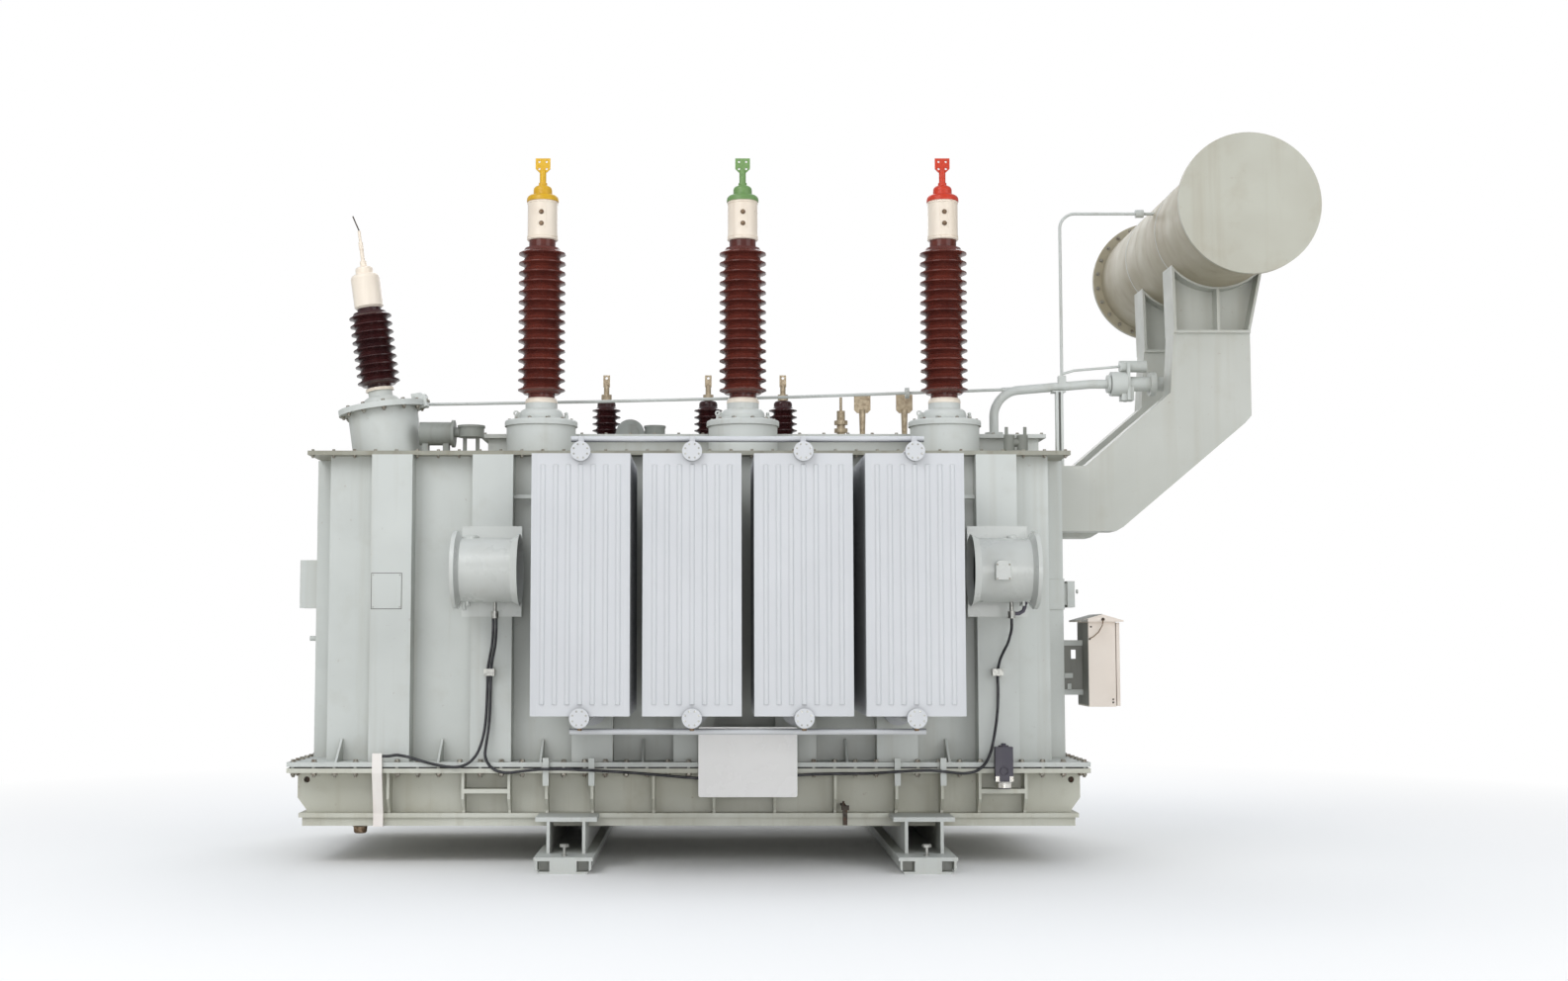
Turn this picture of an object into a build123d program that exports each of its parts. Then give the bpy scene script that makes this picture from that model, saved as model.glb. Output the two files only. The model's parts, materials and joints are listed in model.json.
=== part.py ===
from build123d import *
import math
import os

# Oil-filled power transformer on two skid beams: a welded tank in two halves joined by a bolted
# flange, panel radiators on both long sides, fans beside them, three tall bushings, and an oil
# conservator carried on two arms at the right-hand end.
# Millimetres. +X runs along the tank to the conservator, -Y is the front, +Z is up, and the
# floor is at zero. Pieces are laid out about the middle of the tank and moved at the end.

# Tank
TANK_LENGTH = 4224.0
TANK_DEPTH = 1600.0
TANK_WALL_HEIGHT = 1776.0
LID_THICK = 25.0
LID_OVERHANG = 118.0
LID_FRONT_OVERHANG = 100.0
STIFFENER_WIDTH = 236.0
STIFFENER_DEPTH = 135.0
BAYS = 7
BAY_LEFT_MARGIN = 384.0
BAY_RIGHT_MARGIN = 324.0
END_STIFFENER_PITCH = 393.0
RIB_THICK = 12.0
RIB_HEIGHT = 124.0
RIB_TOP = 22.0

# Bolted flange between the two halves
FLANGE_THICK = 26.0
FLANGE_OVERHANG = 190.0
GASKET_THICK = 9.0
GASKET_INSET = 14.0

# Lower half
BASE_STEP = 40.0
BASE_WALL_HEIGHT = 232.0
SKIRT_THICK = 25.0
SKIRT_OVERHANG = 90.0
BAND_HEIGHT = 49.0
BAND_INSET = 18.0
GUSSET_THICK = 16.0
GUSSET_SETBACK = 34.0
GUSSET_FOOT_DEPTH = 65.0
GUSSET_STRAIGHT = 150.0
GUSSET_FOOT_RISE = 14.0
SHELF_RISE = 114.0
SHELF_THICK = 25.0
LUG_THICK = 25.0
LUG_HOLE_R = 18.0
LUG_HOLE_INSET = 52.0
LUG_HOLE_DROP = 48.0
CLAMP_WIDTH = 34.0
CLAMP_THICK = 26.0
CLAMP_RISE = 26.0
CLAMP_DROP = 70.0

# Places along the tank, measured from the middle phase
ACTIVE_OFFSET = 320.0
PHASE_PITCH = 1217.0
RUNNER_HALF_PITCH = 1005.0
RUNNER_GUSSET = 131.0
INNER_GUSSET = 175.0
OUTER_GUSSET = 522.0
SHELF_INNER = 1352.0
SHELF_OUTER = 1616.0
LEFT_GUSSET = 2046.0

# Skid beams
RUNNER_OVERHANG = 533.0
RUNNER_TOP_WIDTH = 345.0
RUNNER_WEB_PITCH = 200.0
RUNNER_WEB_THICK = 18.0
RUNNER_WEB_SETBACK = 193.0
FOOT_WIDTH = 326.0
FOOT_PLATE_THICK = 20.0
FOOT_HEIGHT = 70.0
FOOT_INSET = 9.0
FOOT_CHAMFER = 26.0
FOOT_WALL = 12.0
FOOT_WINDOW_DEPTH = 90.0
FOOT_CENTRE_WIDTH = 150.0
RUNNER_WEB_HEIGHT = 127.0

# Radiators
RADIATOR_COLUMNS = 4
RADIATOR_FIRST_BAY = 2
PANEL_WIDTH = 520.0
PANEL_HEIGHT = 1378.0
PANEL_THICK = 12.0
PANEL_EDGE = 3.0
PANEL_PITCH = 60.0
PANELS = 16
FLUTES = 7
FLUTE_PITCH = 66.0
FLUTE_WIDTH = 30.0
FLUTE_RISE = 7.0
FLUTE_END = 62.0
RADIATOR_GAP = 137.0
HEADER_R = 40.0
HEADER_SPACING = 1396.0
HEADER_DROP = 85.0
DISC_R = 52.0
DISC_THICK = 18.0
HEADER_NOSE = 14.0
VALVE_R = 85.0
VALVE_THICK = 24.0
TIE_R = 16.0
TIE_RISE = 74.0
TIE_SETBACK = 80.0
TIE_OVERHANG = 58.0
TIE_LUG = 26.0

# Fans
FAN_SHIFT = -4.0
FAN_LEFT_BAY = 1
FAN_AXIS_DEPTH = 375.0
FAN_AXIS_HEIGHT = 1678.0
DUCT_R = 182.0
DUCT_WALL = 8.0
DUCT_LENGTH = 287.0
MOUTH_R = 204.0
MOUTH_LENGTH = 40.0
INTAKE_R = 222.0
INTAKE_LENGTH = 46.0
MOTOR_R = 62.0
MOTOR_LENGTH = 170.0
MOTOR_SETBACK = 20.0
STRUT_THICK = 14.0
STRUT_LENGTH = 60.0
STRUTS = 4
SHAFT_R = 14.0
SHAFT_LENGTH = 46.0
SHAFT_CLEARANCE = 0.3
HUB_R = 58.0
HUB_LENGTH = 74.0
HUB_GAP = 8.0
BLADES = 7
BLADE_TIP_CLEARANCE = 8.0
BLADE_ROOT_CHORD = 64.0
BLADE_TIP_CHORD = 84.0
BLADE_THICK = 6.0
BLADE_ROOT_ANGLE = 48.0
BLADE_TIP_ANGLE = 26.0
FAN_PLATE_WIDTH = 348.0
FAN_PLATE_HEIGHT = 524.0
FAN_PLATE_THICK = 8.0
FAN_WEB_SPAN = 220.0
FAN_WEB_THICK = 12.0
FAN_WEB_HEIGHT = 190.0

# Raised frame on the lid
DECK_HEIGHT = 135.0
DECK_LEFT_INSET = 980.0
DECK_RIGHT_INSET = 80.0
DECK_REAR_INSET = 20.0
DECK_GAP = 14.0
DECK_FLANGE_THICK = 24.0
DECK_FLANGE_OVERHANG = 40.0

# Tall bushings
PHASE_SETBACK = 247.0
TURRET_R = 208.0
TURRET_HEIGHT = 176.0
TURRET_FLANGE_R = 219.0
TURRET_FLANGE_THICK = 36.0
TURRET_RIM = 12.0
TURRET_SKIRT_R = 178.0
TURRET_SKIRT_HEIGHT = 16.0
TURRET_DOME_R = 132.0
TURRET_DOME_HEIGHT = 70.0
TURRET_COLLAR_R = 96.0
TURRET_COLLAR_HEIGHT = 40.0
PORCELAIN_NECK_R = 81.0
PORCELAIN_CORE_R = 106.0
SHED_R = 142.0
SHED_PITCH = 59.4
SHEDS = 15
SHED_LEVEL_SHARES = [0.0, 0.18, 0.36, 0.48, 0.72]
SHED_REACH_SHARES = [0.0, 0.28, 1.0, 1.0, 0.26]
LOWER_NECK = 52.0
UPPER_NECK = 62.0
SLEEVE_R = 91.0
SLEEVE_HEIGHT = 226.0
SLEEVE_CHAMFER = 8.0
SLEEVE_PLATE_WIDTH = 52.0
SLEEVE_PLATE_HEIGHT = 118.0
SLEEVE_PLATE_THICK = 8.0
SHOULDER_R = 97.0
SHOULDER_HEIGHT = 40.0
SHOULDER_ROUND = 28.0
CROWN_R = 57.0
CROWN_HEIGHT = 58.0
CROWN_ROUND = 26.0
STEM_R = 20.0
STEM_HEIGHT = 86.0
NUT_R = 26.0
NUT_HEIGHT = 18.0
FLAG_WIDTH = 90.0
FLAG_HEIGHT = 86.0
FLAG_THICK = 14.0
FLAG_CORNER = 22.0
FLAG_HOLE_R = 7.0
FLAG_HOLE_PITCH = 44.0

# Neutral bushing, which leans outwards
NEUTRAL_INSET = 296.0
NEUTRAL_LEAN = 8.2
NEUTRAL_TURRET_R = 208.0
NEUTRAL_TURRET_HEIGHT = 270.0
NEUTRAL_FLANGE_R = 262.0
NEUTRAL_FLANGE_THICK = 34.0
NEUTRAL_COLLAR_R = 108.0
NEUTRAL_COLLAR_TOP_R = 72.0
NEUTRAL_COLLAR_HEIGHT = 104.0
NEUTRAL_DOME_HEIGHT = 58.0
NEUTRAL_CORE_R = 98.0
NEUTRAL_SHED_R = 127.0
NEUTRAL_SHED_PITCH = 50.0
NEUTRAL_SHEDS = 9
NEUTRAL_NECK = 24.0
NEUTRAL_CAP_R = 87.0
NEUTRAL_CAP_HEIGHT = 212.0
NEUTRAL_CAP_ROUND = 26.0
NEUTRAL_CAP_CHAMFER = 12.0
NEUTRAL_CROWN_R = 53.0
NEUTRAL_CROWN_HEIGHT = 46.0
NEUTRAL_CROWN_ROUND = 16.0
NEUTRAL_NUT_R = 20.0
NEUTRAL_NUT_HEIGHT = 36.0
NEUTRAL_STEM_R = 12.0
NEUTRAL_STEM_HEIGHT = 225.0
NEUTRAL_JOINT_R = 14.0
NEUTRAL_JOINT_LENGTH = 44.0
NEUTRAL_TIP_R = 9.0

# Low-voltage bushings
LOW_SETBACK = 350.0
LOW_A_X = -561.0
LOW_B_X = 108.0
LOW_C_X = 599.0
LOW_CORE_R = 60.0
LOW_SHED_R = 92.0
LOW_SHED_PITCH = 44.0
LOW_SHEDS = 5
LOW_NECK = 40.0
LOW_ROUND = 22.0
LOW_TOP_R = 34.0
LOW_TOP_HEIGHT = 40.0
LOW_STEM_R = 18.0
LOW_STEM_HEIGHT = 52.0
LOW_FLAG_WIDTH = 44.0
LOW_FLAG_HEIGHT = 78.0
LOW_FLAG_THICK = 12.0
LOW_FLAG_HOLE_R = 9.0
LOW_HOLE_SHARE = 0.75

# Conservator
CONSERVATOR_REACH = 969.0
CONSERVATOR_RISE = 1395.0
CONSERVATOR_LENGTH = 2458.0
CONSERVATOR_R = 355.0
CONSERVATOR_WALL = 8.0
CONSERVATOR_FLANGE_R = 410.0
CONSERVATOR_FLANGE_THICK = 22.0

# Arms and cradles that carry it
ARM_WIDTH = 200.0
ARM_ROOT_DROP = 28.0
ARM_ROOT_HEIGHT = 395.0
ARM_LEDGE = 150.0
ARM_BACK_KNEE_DROP = 364.0
ARM_LOWER_RUN = 372.0
ARM_OUTER_KNEE_DROP = 503.0
ARM_TOE_RISE = 24.0
ARM_TOE_RUN = 42.0
ARM_LEFT_REACH = 271.0
ARM_RIGHT_REACH = 194.0
CRADLE_RISE = 282.0
CRADLE_LENGTH = 234.0
CRADLE_PLATE = 16.0
CRADLE_SADDLE = 12.0
CRADLE_BASE_THICK = 17.0
CRADLE_HALF_SPAN = 279.0

# Pipes between the tank and the conservator
PIPE_DEPTH = 225.0
PIPE_FOOT_INSET = 228.0
PIPE_R = 28.0
PIPE_FOOT_FLANGE_R = 56.0
PIPE_FOOT_FLANGE_THICK = 18.0
PIPE_BEND_R = 170.0
PIPE_BEND_RISE = 271.0
PIPE_EASE_R = 400.0
PIPE_EASE_RUN = 100.0
RELAY_REACH = 626.0
RELAY_RISE = 322.0
RELAY_FLANGE_R = 74.0
RELAY_FLANGE_THICK = 18.0
RELAY_LENGTH = 298.0
RELAY_BODY_R = 46.0
RELAY_DRUM_R = 76.0
RELAY_DRUM_START = 22.0
RELAY_DRUM_LENGTH = 96.0
RELAY_PLATE_START = 116.0
RELAY_PLATE_WIDTH = 124.0
RELAY_PLATE_LOW = 105.0
RELAY_PLATE_HIGH = 127.0
RELAY_BOX_R = 36.0
RELAY_BOX_START = 80.0
RELAY_BOX_LENGTH = 164.0
RELAY_BOX_RISE = 110.0
RELAY_LUG_START = 84.0
RELAY_LUG_LENGTH = 76.0
RELAY_LUG_WIDTH = 84.0
UPPER_PIPE_R = 44.0
UPPER_PIPE_BEND_R = 130.0
GAS_PIPE_R = 9.5
GAS_PIPE_BEND_R = 700.0
GAS_PIPE_TURN_R = 90.0
GAS_STUB_R = 14.0
GAS_STUB_LENGTH = 110.0
GAS_FITTING = 46.0
GAS_FITTING_HEIGHT = 60.0
GAS_FITTING_X = 66.0
GAS_FITTING_Y = 222.0
GAS_UNION_R = 34.0
GAS_UNION_LENGTH = 24.0
GAS_UNION_SHARE = 0.55
GAS_MIDDLE_X = -610.0
GAS_MIDDLE_RISE = 212.0
GAS_RIGHT_X = 627.0
GAS_RIGHT_RISE = 241.0
GAS_END_REACH = 51.0
GAS_END_RISE = 287.0
BREATHER_REACH = 63.0
BREATHER_TOP_RISE = 160.0
BREATHER_BEND_R = 95.0
BREATHER_UNION_REACH = 432.0
BREATHER_UNION_R = 25.0
BREATHER_UNION_LENGTH = 50.0
BRANCH_R = 8.0
BRANCH_RISE = 12.0
BRANCH_SLOPE_RUN = 76.0
BRANCH_SLOPE_RISE = 22.0
BRANCH_BEND_R = 40.0
CLAMP_FOOT_LENGTH = 46.0
CLAMP_FOOT_WIDTH = 50.0
CLAMP_FOOT_HEIGHT = 66.0
POST_WIDTH = 46.0
POST_DEPTH = 40.0
POST_WALL = 4.0
POST_SLOT = 14.0
POST_REACH = 35.0
POST_FOOT_DROP = 300.0
POST_PLATE_LENGTH = 80.0
POST_PLATE_THICK = 8.0

# Small fittings on the lid and on the raised frame
VENT_REACH = 210.0
VENT_DEPTH = 680.0
VENT_R = 70.0
VENT_LENGTH = 190.0
VENT_RISE = 122.0
VENT_RING_R = 82.0
VENT_RING_THICK = 16.0
VENT_FOOT_WIDTH = 34.0
VENT_DRUM_R = 76.0
VENT_DRUM_HEIGHT = 56.0
VENT_DRUM_GAP = 22.0
VENT_DRUM_BOTTOM = 100.0
VENT_CAP_R = 82.0
VENT_CAP_THICK = 14.0
VENT_LEG_R = 12.0
VENT_LINK_R = 30.0
VALVE_X = 1950.0
VALVE_DEPTH = 650.0
VALVE_BASE_LENGTH = 120.0
VALVE_BASE_WIDTH = 64.0
VALVE_BASE_HEIGHT = 26.0
VALVE_BARREL_R = 33.0
VALVE_BARREL_HEIGHT = 90.0
VALVE_BARREL_PITCH = 78.0
VALVE_LINK_R = 24.0
VALVE_EAR_WIDTH = 20.0
VALVE_EAR_HEIGHT = 50.0
VALVE_EAR_THICK = 8.0
GAUGE_X = -397.0
GAUGE_DEPTH = 300.0
GAUGE_R = 92.0
GAUGE_RISE = 66.0
GAUGE_LENGTH = 70.0
GAUGE_RING_R = 60.0
GAUGE_RING_LENGTH = 24.0
POT_X = -238.0
POT_R = 66.0
POT_HEIGHT = 104.0
POT_CAP_R = 71.0
POT_CAP_THICK = 14.0
STRAP_LEFT_X = 1121.0
STRAP_RIGHT_X = 1397.0
STRAP_WIDTH = 108.0
STRAP_HEIGHT = 122.0
STRAP_THICK = 12.0
STRAP_CORNER = 20.0
STRAP_FOOT_R = 32.0
STRAP_FOOT_HEIGHT = 24.0
STRAP_FOOT_ROUND = 14.0
STRAP_WAIST_R = 16.0
STRAP_STEM_R = 22.0
STRAP_STEM_HEIGHT = 196.0
PIN_X = 980.0
PIN_HEIGHT = 324.0
PIN_BASE_R = 44.0
PIN_NECK_R = 27.0
PIN_ROD_R = 9.0
PIN_LEVEL_SHARES = [0.06, 0.28, 0.36, 0.44, 0.52, 0.72, 1.0]

# Boxes on the two ends of the tank
LEFT_BOX_DEPTH = 106.0
LEFT_BOX_WIDTH = 180.0
LEFT_BOX_HEIGHT = 288.0
LEFT_BOX_BOTTOM = 1473.0
LEFT_STUB_R = 15.0
LEFT_STUB_LENGTH = 58.0
LEFT_STUB_HEIGHT = 1290.0
RIGHT_PLATE_THICK = 12.0
RIGHT_PLATE_WIDTH = 190.0
RIGHT_PLATE_HEIGHT = 186.0
RIGHT_PLATE_BOTTOM = 1463.0
RIGHT_NECK_THICK = 20.0
RIGHT_BOX_THICK = 45.0
RIGHT_BOX_INSET = 14.0

# Air dryer in front of the flange
DRYER_X = 1795.0
DRYER_WIDTH = 100.0
DRYER_DEPTH = 58.0
DRYER_BOTTOM = 481.0
DRYER_HEIGHT = 195.0
DRYER_GAP = 26.0
DRYER_ARM = 40.0
CUP_R = 44.0
CUP_HEIGHT = 42.0
CUP_RIM_R = 48.0
CUP_RIM_HEIGHT = 8.0

# Cables of the two front fans, their clips, glands and trunking
CABLE_R = 8.0
CABLE_GLAND_R = 21.0
CABLE_GLAND_HEIGHT = 40.0
CABLE_STUB_R = 11.0
CABLE_STUB_HEIGHT = 51.0
LEFT_GLAND_SHIFT = 43.0
RIGHT_GLAND_SHIFT = 46.0
LEFT_CLIP_SHIFT = -6.0
RIGHT_CLIP_SHIFT = -9.0
CLIP_BOTTOM = 1077.0
CLIP_HEIGHT = 40.0
CLIP_WIDTH = 62.0
CLIP_DEPTH = 46.0
CLIP_WALL = 3.0
TRUNKING_INSET = 332.0
TRUNKING_WIDTH = 56.0
TRUNKING_THICK = 24.0
TRUNKING_TOP = 52.0
TRUNKING_GAP = 2.0
RUN_SHARE = 0.45

# Cable routes: along from the gland or the trunking, out from the wall, and down from the gland
LEFT_RUN_FROM_GLAND = [
    (-9, 375, 0.3),
    (-9, 375, 60),
    (-19, 318, 143),
    (-43, 222, 213),
    (-61, 166, 279),
    (-63, 162, 355),
    (-65, 164, 455),
    (-68, 172, 555),
    (-75, 186, 640),
    (-89, 200, 710),
    (-113, 211, 773),
    (-155, 214, 823),
]
LEFT_RUN_FROM_TRUNKING = [
    (468, 211, 848),
    (395, 206, 845),
    (320, 205, 831),
    (240, 204, 808),
    (166, 205, 786),
    (108, 205, 777),
    (68, 204, 785),
    (28.3, 204, 785),
]
LINK_RUN_FROM_LEFT = [
    (9, 375, 0.3),
    (9, 375, 60),
    (-1, 318, 143),
    (-25, 222, 213),
    (-43, 166, 279),
    (-45, 162, 355),
    (-46, 164, 455),
    (-48, 172, 555),
    (-53, 186, 640),
    (-63, 200, 713),
    (-71, 204, 783),
    (-51, 204, 833),
    (-5, 204, 870),
    (61, 207, 881),
    (150, 218, 868),
    (260, 231, 856),
    (405, 234, 857),
    (565, 231, 865),
    (695, 212, 874),
    (855, 204, 885),
    (1035, 204, 902),
    (1215, 204, 915),
]
LINK_RUN_FROM_RIGHT = [
    (-1510, 204, 915),
    (-1310, 204, 902),
    (-1130, 204, 887),
    (-950, 204, 884),
    (-800, 213, 883),
    (-680, 231, 874),
    (-540, 234, 865),
    (-430, 233, 864),
    (-350, 231, 873),
    (-260, 214, 884),
    (-185, 206, 873),
    (-132, 205, 830),
    (-100, 203, 763),
    (-80, 190, 683),
    (-62, 172, 593),
    (-50, 156, 500),
    (-46, 149, 405),
    (-51, 150, 308),
    (-43, 185, 245),
    (-30, 248, 190),
    (-12, 318, 139),
    (0, 375, 62),
    (0, 375, 0.3),
]

# Control cabinet on the right-hand end
CABINET_STANDOFF = 119.0
CABINET_DEPTH_X = 160.0
CABINET_WIDTH_Y = 336.0
CABINET_SHIFT = 92.0
CABINET_HEIGHT = 502.0
CABINET_BOTTOM = 887.0
CABINET_ROOF_RISE = 44.0
CABINET_ROOF_OVERHANG = 46.0
CABINET_ROOF_EAVE = 8.0
DOOR_THICK = 20.0
DOOR_GAP = 5.0
HINGE_R = 8.0
HINGE_LENGTH = 46.0
HINGE_CLEARANCE = 0.3
BRACKET_HEIGHT = 32.0
BRACKET_WIDTH = 60.0
BRACKET_UPPER = 1263.0
BRACKET_LOWER = 968.0

# Overrun for cuts, and the gap between pieces that only rest on each other
CUT = 5.0
FIT_GAP = 0.3
ROUND_STEPS = 4

# Levels from the floor up
FOOT_TOP = FOOT_HEIGHT + FOOT_PLATE_THICK
BASE_BOTTOM = FOOT_TOP + RUNNER_WEB_HEIGHT
SKIRT_BOTTOM = BASE_BOTTOM + BAND_HEIGHT
SKIRT_TOP = SKIRT_BOTTOM + SKIRT_THICK
LOWER_FLANGE_BOTTOM = SKIRT_TOP + BASE_WALL_HEIGHT
GASKET_BOTTOM = LOWER_FLANGE_BOTTOM + FLANGE_THICK
UPPER_FLANGE_BOTTOM = GASKET_BOTTOM + GASKET_THICK
WALL_BOTTOM = UPPER_FLANGE_BOTTOM + FLANGE_THICK
WALL_TOP = WALL_BOTTOM + TANK_WALL_HEIGHT
LID_TOP = WALL_TOP + LID_THICK
DECK_TOP = LID_TOP + DECK_HEIGHT + DECK_FLANGE_THICK
CONSERVATOR_Z = LID_TOP + CONSERVATOR_RISE
ARM_TOP = CONSERVATOR_Z - CONSERVATOR_R - CRADLE_RISE
ARM_ROOT_HIGH = WALL_TOP - ARM_ROOT_DROP
ARM_ROOT_LOW = ARM_ROOT_HIGH - ARM_ROOT_HEIGHT
RELAY_Z = DECK_TOP + RELAY_RISE

# Reaches of the tank, and places worked out from them
TANK_FRONT = TANK_DEPTH / 2
TANK_END = TANK_LENGTH / 2
BAY_PITCH = (TANK_LENGTH - BAY_LEFT_MARGIN - BAY_RIGHT_MARGIN) / (BAYS - 1)
STIFFENER_FRONT = TANK_FRONT + STIFFENER_DEPTH
STIFFENER_END = TANK_END + STIFFENER_DEPTH
LID_END = TANK_END + LID_OVERHANG
FLANGE_FRONT = TANK_FRONT + FLANGE_OVERHANG
FLANGE_END = TANK_END + FLANGE_OVERHANG
BASE_FRONT = TANK_FRONT + BASE_STEP
BASE_END = TANK_END + BASE_STEP
GUSSET_DEPTH = FLANGE_OVERHANG - BASE_STEP - GUSSET_SETBACK
RUNNER_LENGTH = 2 * (BASE_FRONT + RUNNER_OVERHANG)
PHASE_DEPTH = TANK_FRONT - PHASE_SETBACK
LOW_DEPTH = TANK_FRONT - LOW_SETBACK
DECK_FRONT = TURRET_FLANGE_R + DECK_GAP - PHASE_DEPTH
DECK_REAR = TANK_FRONT - DECK_REAR_INSET
ARM_PITCH = 2 * END_STIFFENER_PITCH
CABINET_Y = -END_STIFFENER_PITCH - CABINET_SHIFT
CONSERVATOR_X = STIFFENER_END + CONSERVATOR_REACH
RELAY_X = CONSERVATOR_X - RELAY_REACH
BREATHER_UNION_X = CONSERVATOR_X - BREATHER_UNION_REACH
BREATHER_X = STIFFENER_END + BREATHER_REACH
POST_X = STIFFENER_END + POST_REACH
PIPE_FOOT_X = TANK_END - PIPE_FOOT_INSET
GAS_END_X = PIPE_FOOT_X + GAS_END_REACH
ARM_TOP_LEFT = CONSERVATOR_X - ARM_LEFT_REACH
ARM_TOP_RIGHT = CONSERVATOR_X + ARM_RIGHT_REACH
FAN_X = TANK_END - BAY_RIGHT_MARGIN + FAN_SHIFT
LEFT_CLIP_X = FAN_LEFT_BAY * BAY_PITCH + BAY_LEFT_MARGIN - TANK_END + LEFT_CLIP_SHIFT
RIGHT_CLIP_X = TANK_END - BAY_RIGHT_MARGIN + RIGHT_CLIP_SHIFT
LEFT_GLAND_X = LEFT_CLIP_X - LEFT_CLIP_SHIFT - FAN_SHIFT + LEFT_GLAND_SHIFT
RIGHT_GLAND_X = FAN_X + RIGHT_GLAND_SHIFT
GLAND_BOTTOM = FAN_AXIS_HEIGHT - DUCT_R - CABLE_STUB_HEIGHT - CABLE_GLAND_HEIGHT
TRUNKING_X = TRUNKING_INSET - TANK_END
NEUTRAL_X = NEUTRAL_INSET - TANK_END
VENT_X = NEUTRAL_X + VENT_REACH
FAN_AXIS_Y = -TANK_FRONT - FAN_AXIS_DEPTH

# Reach of the whole object to each side, and the middle between them
RIGHT_REACH = CONSERVATOR_X + CONSERVATOR_FLANGE_R
LEFT_REACH = STIFFENER_END + LEFT_BOX_DEPTH
ORIGIN_X = (RIGHT_REACH - LEFT_REACH) / 2


def block(length, depth, height, x, y, z):
    """A box given by its size, the middle of its plan and its underside."""
    return Pos(x, y, z + height / 2) * Box(length, depth, height)


def rod_x(radius, length, x, y, z):
    """A round bar along X from x onwards."""
    return Pos(x + length / 2, y, z) * Rot(0, 90, 0) * Cylinder(radius, length)


def rod_y(radius, length, x, y, z):
    """A round bar along Y from y onwards."""
    return Pos(x, y + length / 2, z) * Rot(90, 0, 0) * Cylinder(radius, length)


def rod_z(radius, length, x, y, z):
    """An upright round bar standing on z."""
    return Pos(x, y, z + length / 2) * Cylinder(radius, length)


def plate_xz(points, thickness, y):
    """An upright plate drawn in the XZ plane, centred on y."""
    face = make_face(Polyline(*points, close=True))
    return Pos(0, y, 0) * extrude(Plane.XZ * face, amount=thickness / 2, both=True)


def plate_yz(points, thickness, x):
    """An upright plate drawn in the YZ plane, centred on x."""
    face = make_face(Polyline(*points, close=True))
    return Pos(x, 0, 0) * extrude(Plane.YZ * face, amount=thickness / 2, both=True)


def turned(profile):
    """A turned piece from half its outline, given as radius and height."""
    face = make_face(Polyline(*profile, close=True))
    return revolve(Plane.XZ * face, Axis.Z)


def rounded_top(radius, low, high, corner):
    """Outline of a turned drum from low to high, with its upper edge rounded."""
    points = [(radius, low)]
    for step in range(ROUND_STEPS + 1):
        angle = math.radians(90 * step / ROUND_STEPS)
        points.append((radius - corner * (1 - math.cos(angle)), high - corner * (1 - math.sin(angle))))
    return points


def bent_bar(points, radii, radius):
    """A round bar along straight runs that are joined by arcs."""
    path = FilletPolyline(*points, radius=radii)
    section = Plane(origin=path @ 0, z_dir=path % 0) * Circle(radius)
    return sweep(section, path=path)


def sides(shape):
    """The shape on the front, and its mirror image on the back."""
    return [shape, mirror(shape, about=Plane.XZ)]


def bay_positions():
    """Middle of each stiffener along the tank."""
    first = BAY_LEFT_MARGIN - TANK_END
    return [first + BAY_PITCH * index for index in range(BAYS)]


def make_bell_tank():
    body = block(TANK_LENGTH, TANK_DEPTH, TANK_WALL_HEIGHT, 0, 0, WALL_BOTTOM)
    body += block(2 * FLANGE_END, 2 * FLANGE_FRONT, FLANGE_THICK, 0, 0, UPPER_FLANGE_BOTTOM)
    for x in bay_positions():
        body += block(STIFFENER_WIDTH, 2 * STIFFENER_FRONT, TANK_WALL_HEIGHT, x, 0, WALL_BOTTOM)
    for step in (-1, 0, 1):
        y = step * END_STIFFENER_PITCH
        body += block(2 * STIFFENER_END, STIFFENER_WIDTH, TANK_WALL_HEIGHT, 0, y, WALL_BOTTOM)
    rib = [
        (-TANK_FRONT, WALL_BOTTOM),
        (-FLANGE_FRONT, WALL_BOTTOM),
        (-TANK_FRONT - RIB_TOP, WALL_BOTTOM + RIB_HEIGHT),
        (-TANK_FRONT, WALL_BOTTOM + RIB_HEIGHT),
    ]
    for x in bay_positions():
        for shape in sides(plate_yz(rib, RIB_THICK, x - BAY_PITCH / 2)):
            body += shape
    return body


def make_tank_lid():
    depth = TANK_DEPTH + 2 * LID_FRONT_OVERHANG
    return block(2 * LID_END, depth, LID_THICK, 0, 0, WALL_TOP)


def make_lid_frame():
    depth = DECK_REAR - DECK_FRONT
    y = (DECK_REAR + DECK_FRONT) / 2
    length = 2 * LID_END - DECK_LEFT_INSET - DECK_RIGHT_INSET
    x = (DECK_LEFT_INSET - DECK_RIGHT_INSET) / 2
    inner = 2 * DECK_FLANGE_OVERHANG
    frame = block(length, depth - inner, DECK_HEIGHT, x, y, LID_TOP)
    frame += block(length + inner, depth, DECK_FLANGE_THICK, x, y, LID_TOP + DECK_HEIGHT)
    return frame


def gusset_profile():
    """Side view of one gusset of the lower half, as seen from the end."""
    return [
        (-BASE_FRONT, LOWER_FLANGE_BOTTOM),
        (-BASE_FRONT - GUSSET_DEPTH, LOWER_FLANGE_BOTTOM),
        (-BASE_FRONT - GUSSET_DEPTH, LOWER_FLANGE_BOTTOM - GUSSET_STRAIGHT),
        (-BASE_FRONT - GUSSET_FOOT_DEPTH, SKIRT_TOP + GUSSET_FOOT_RISE),
        (-BASE_FRONT - GUSSET_FOOT_DEPTH, SKIRT_TOP),
        (-BASE_FRONT, SKIRT_TOP),
    ]


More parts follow.
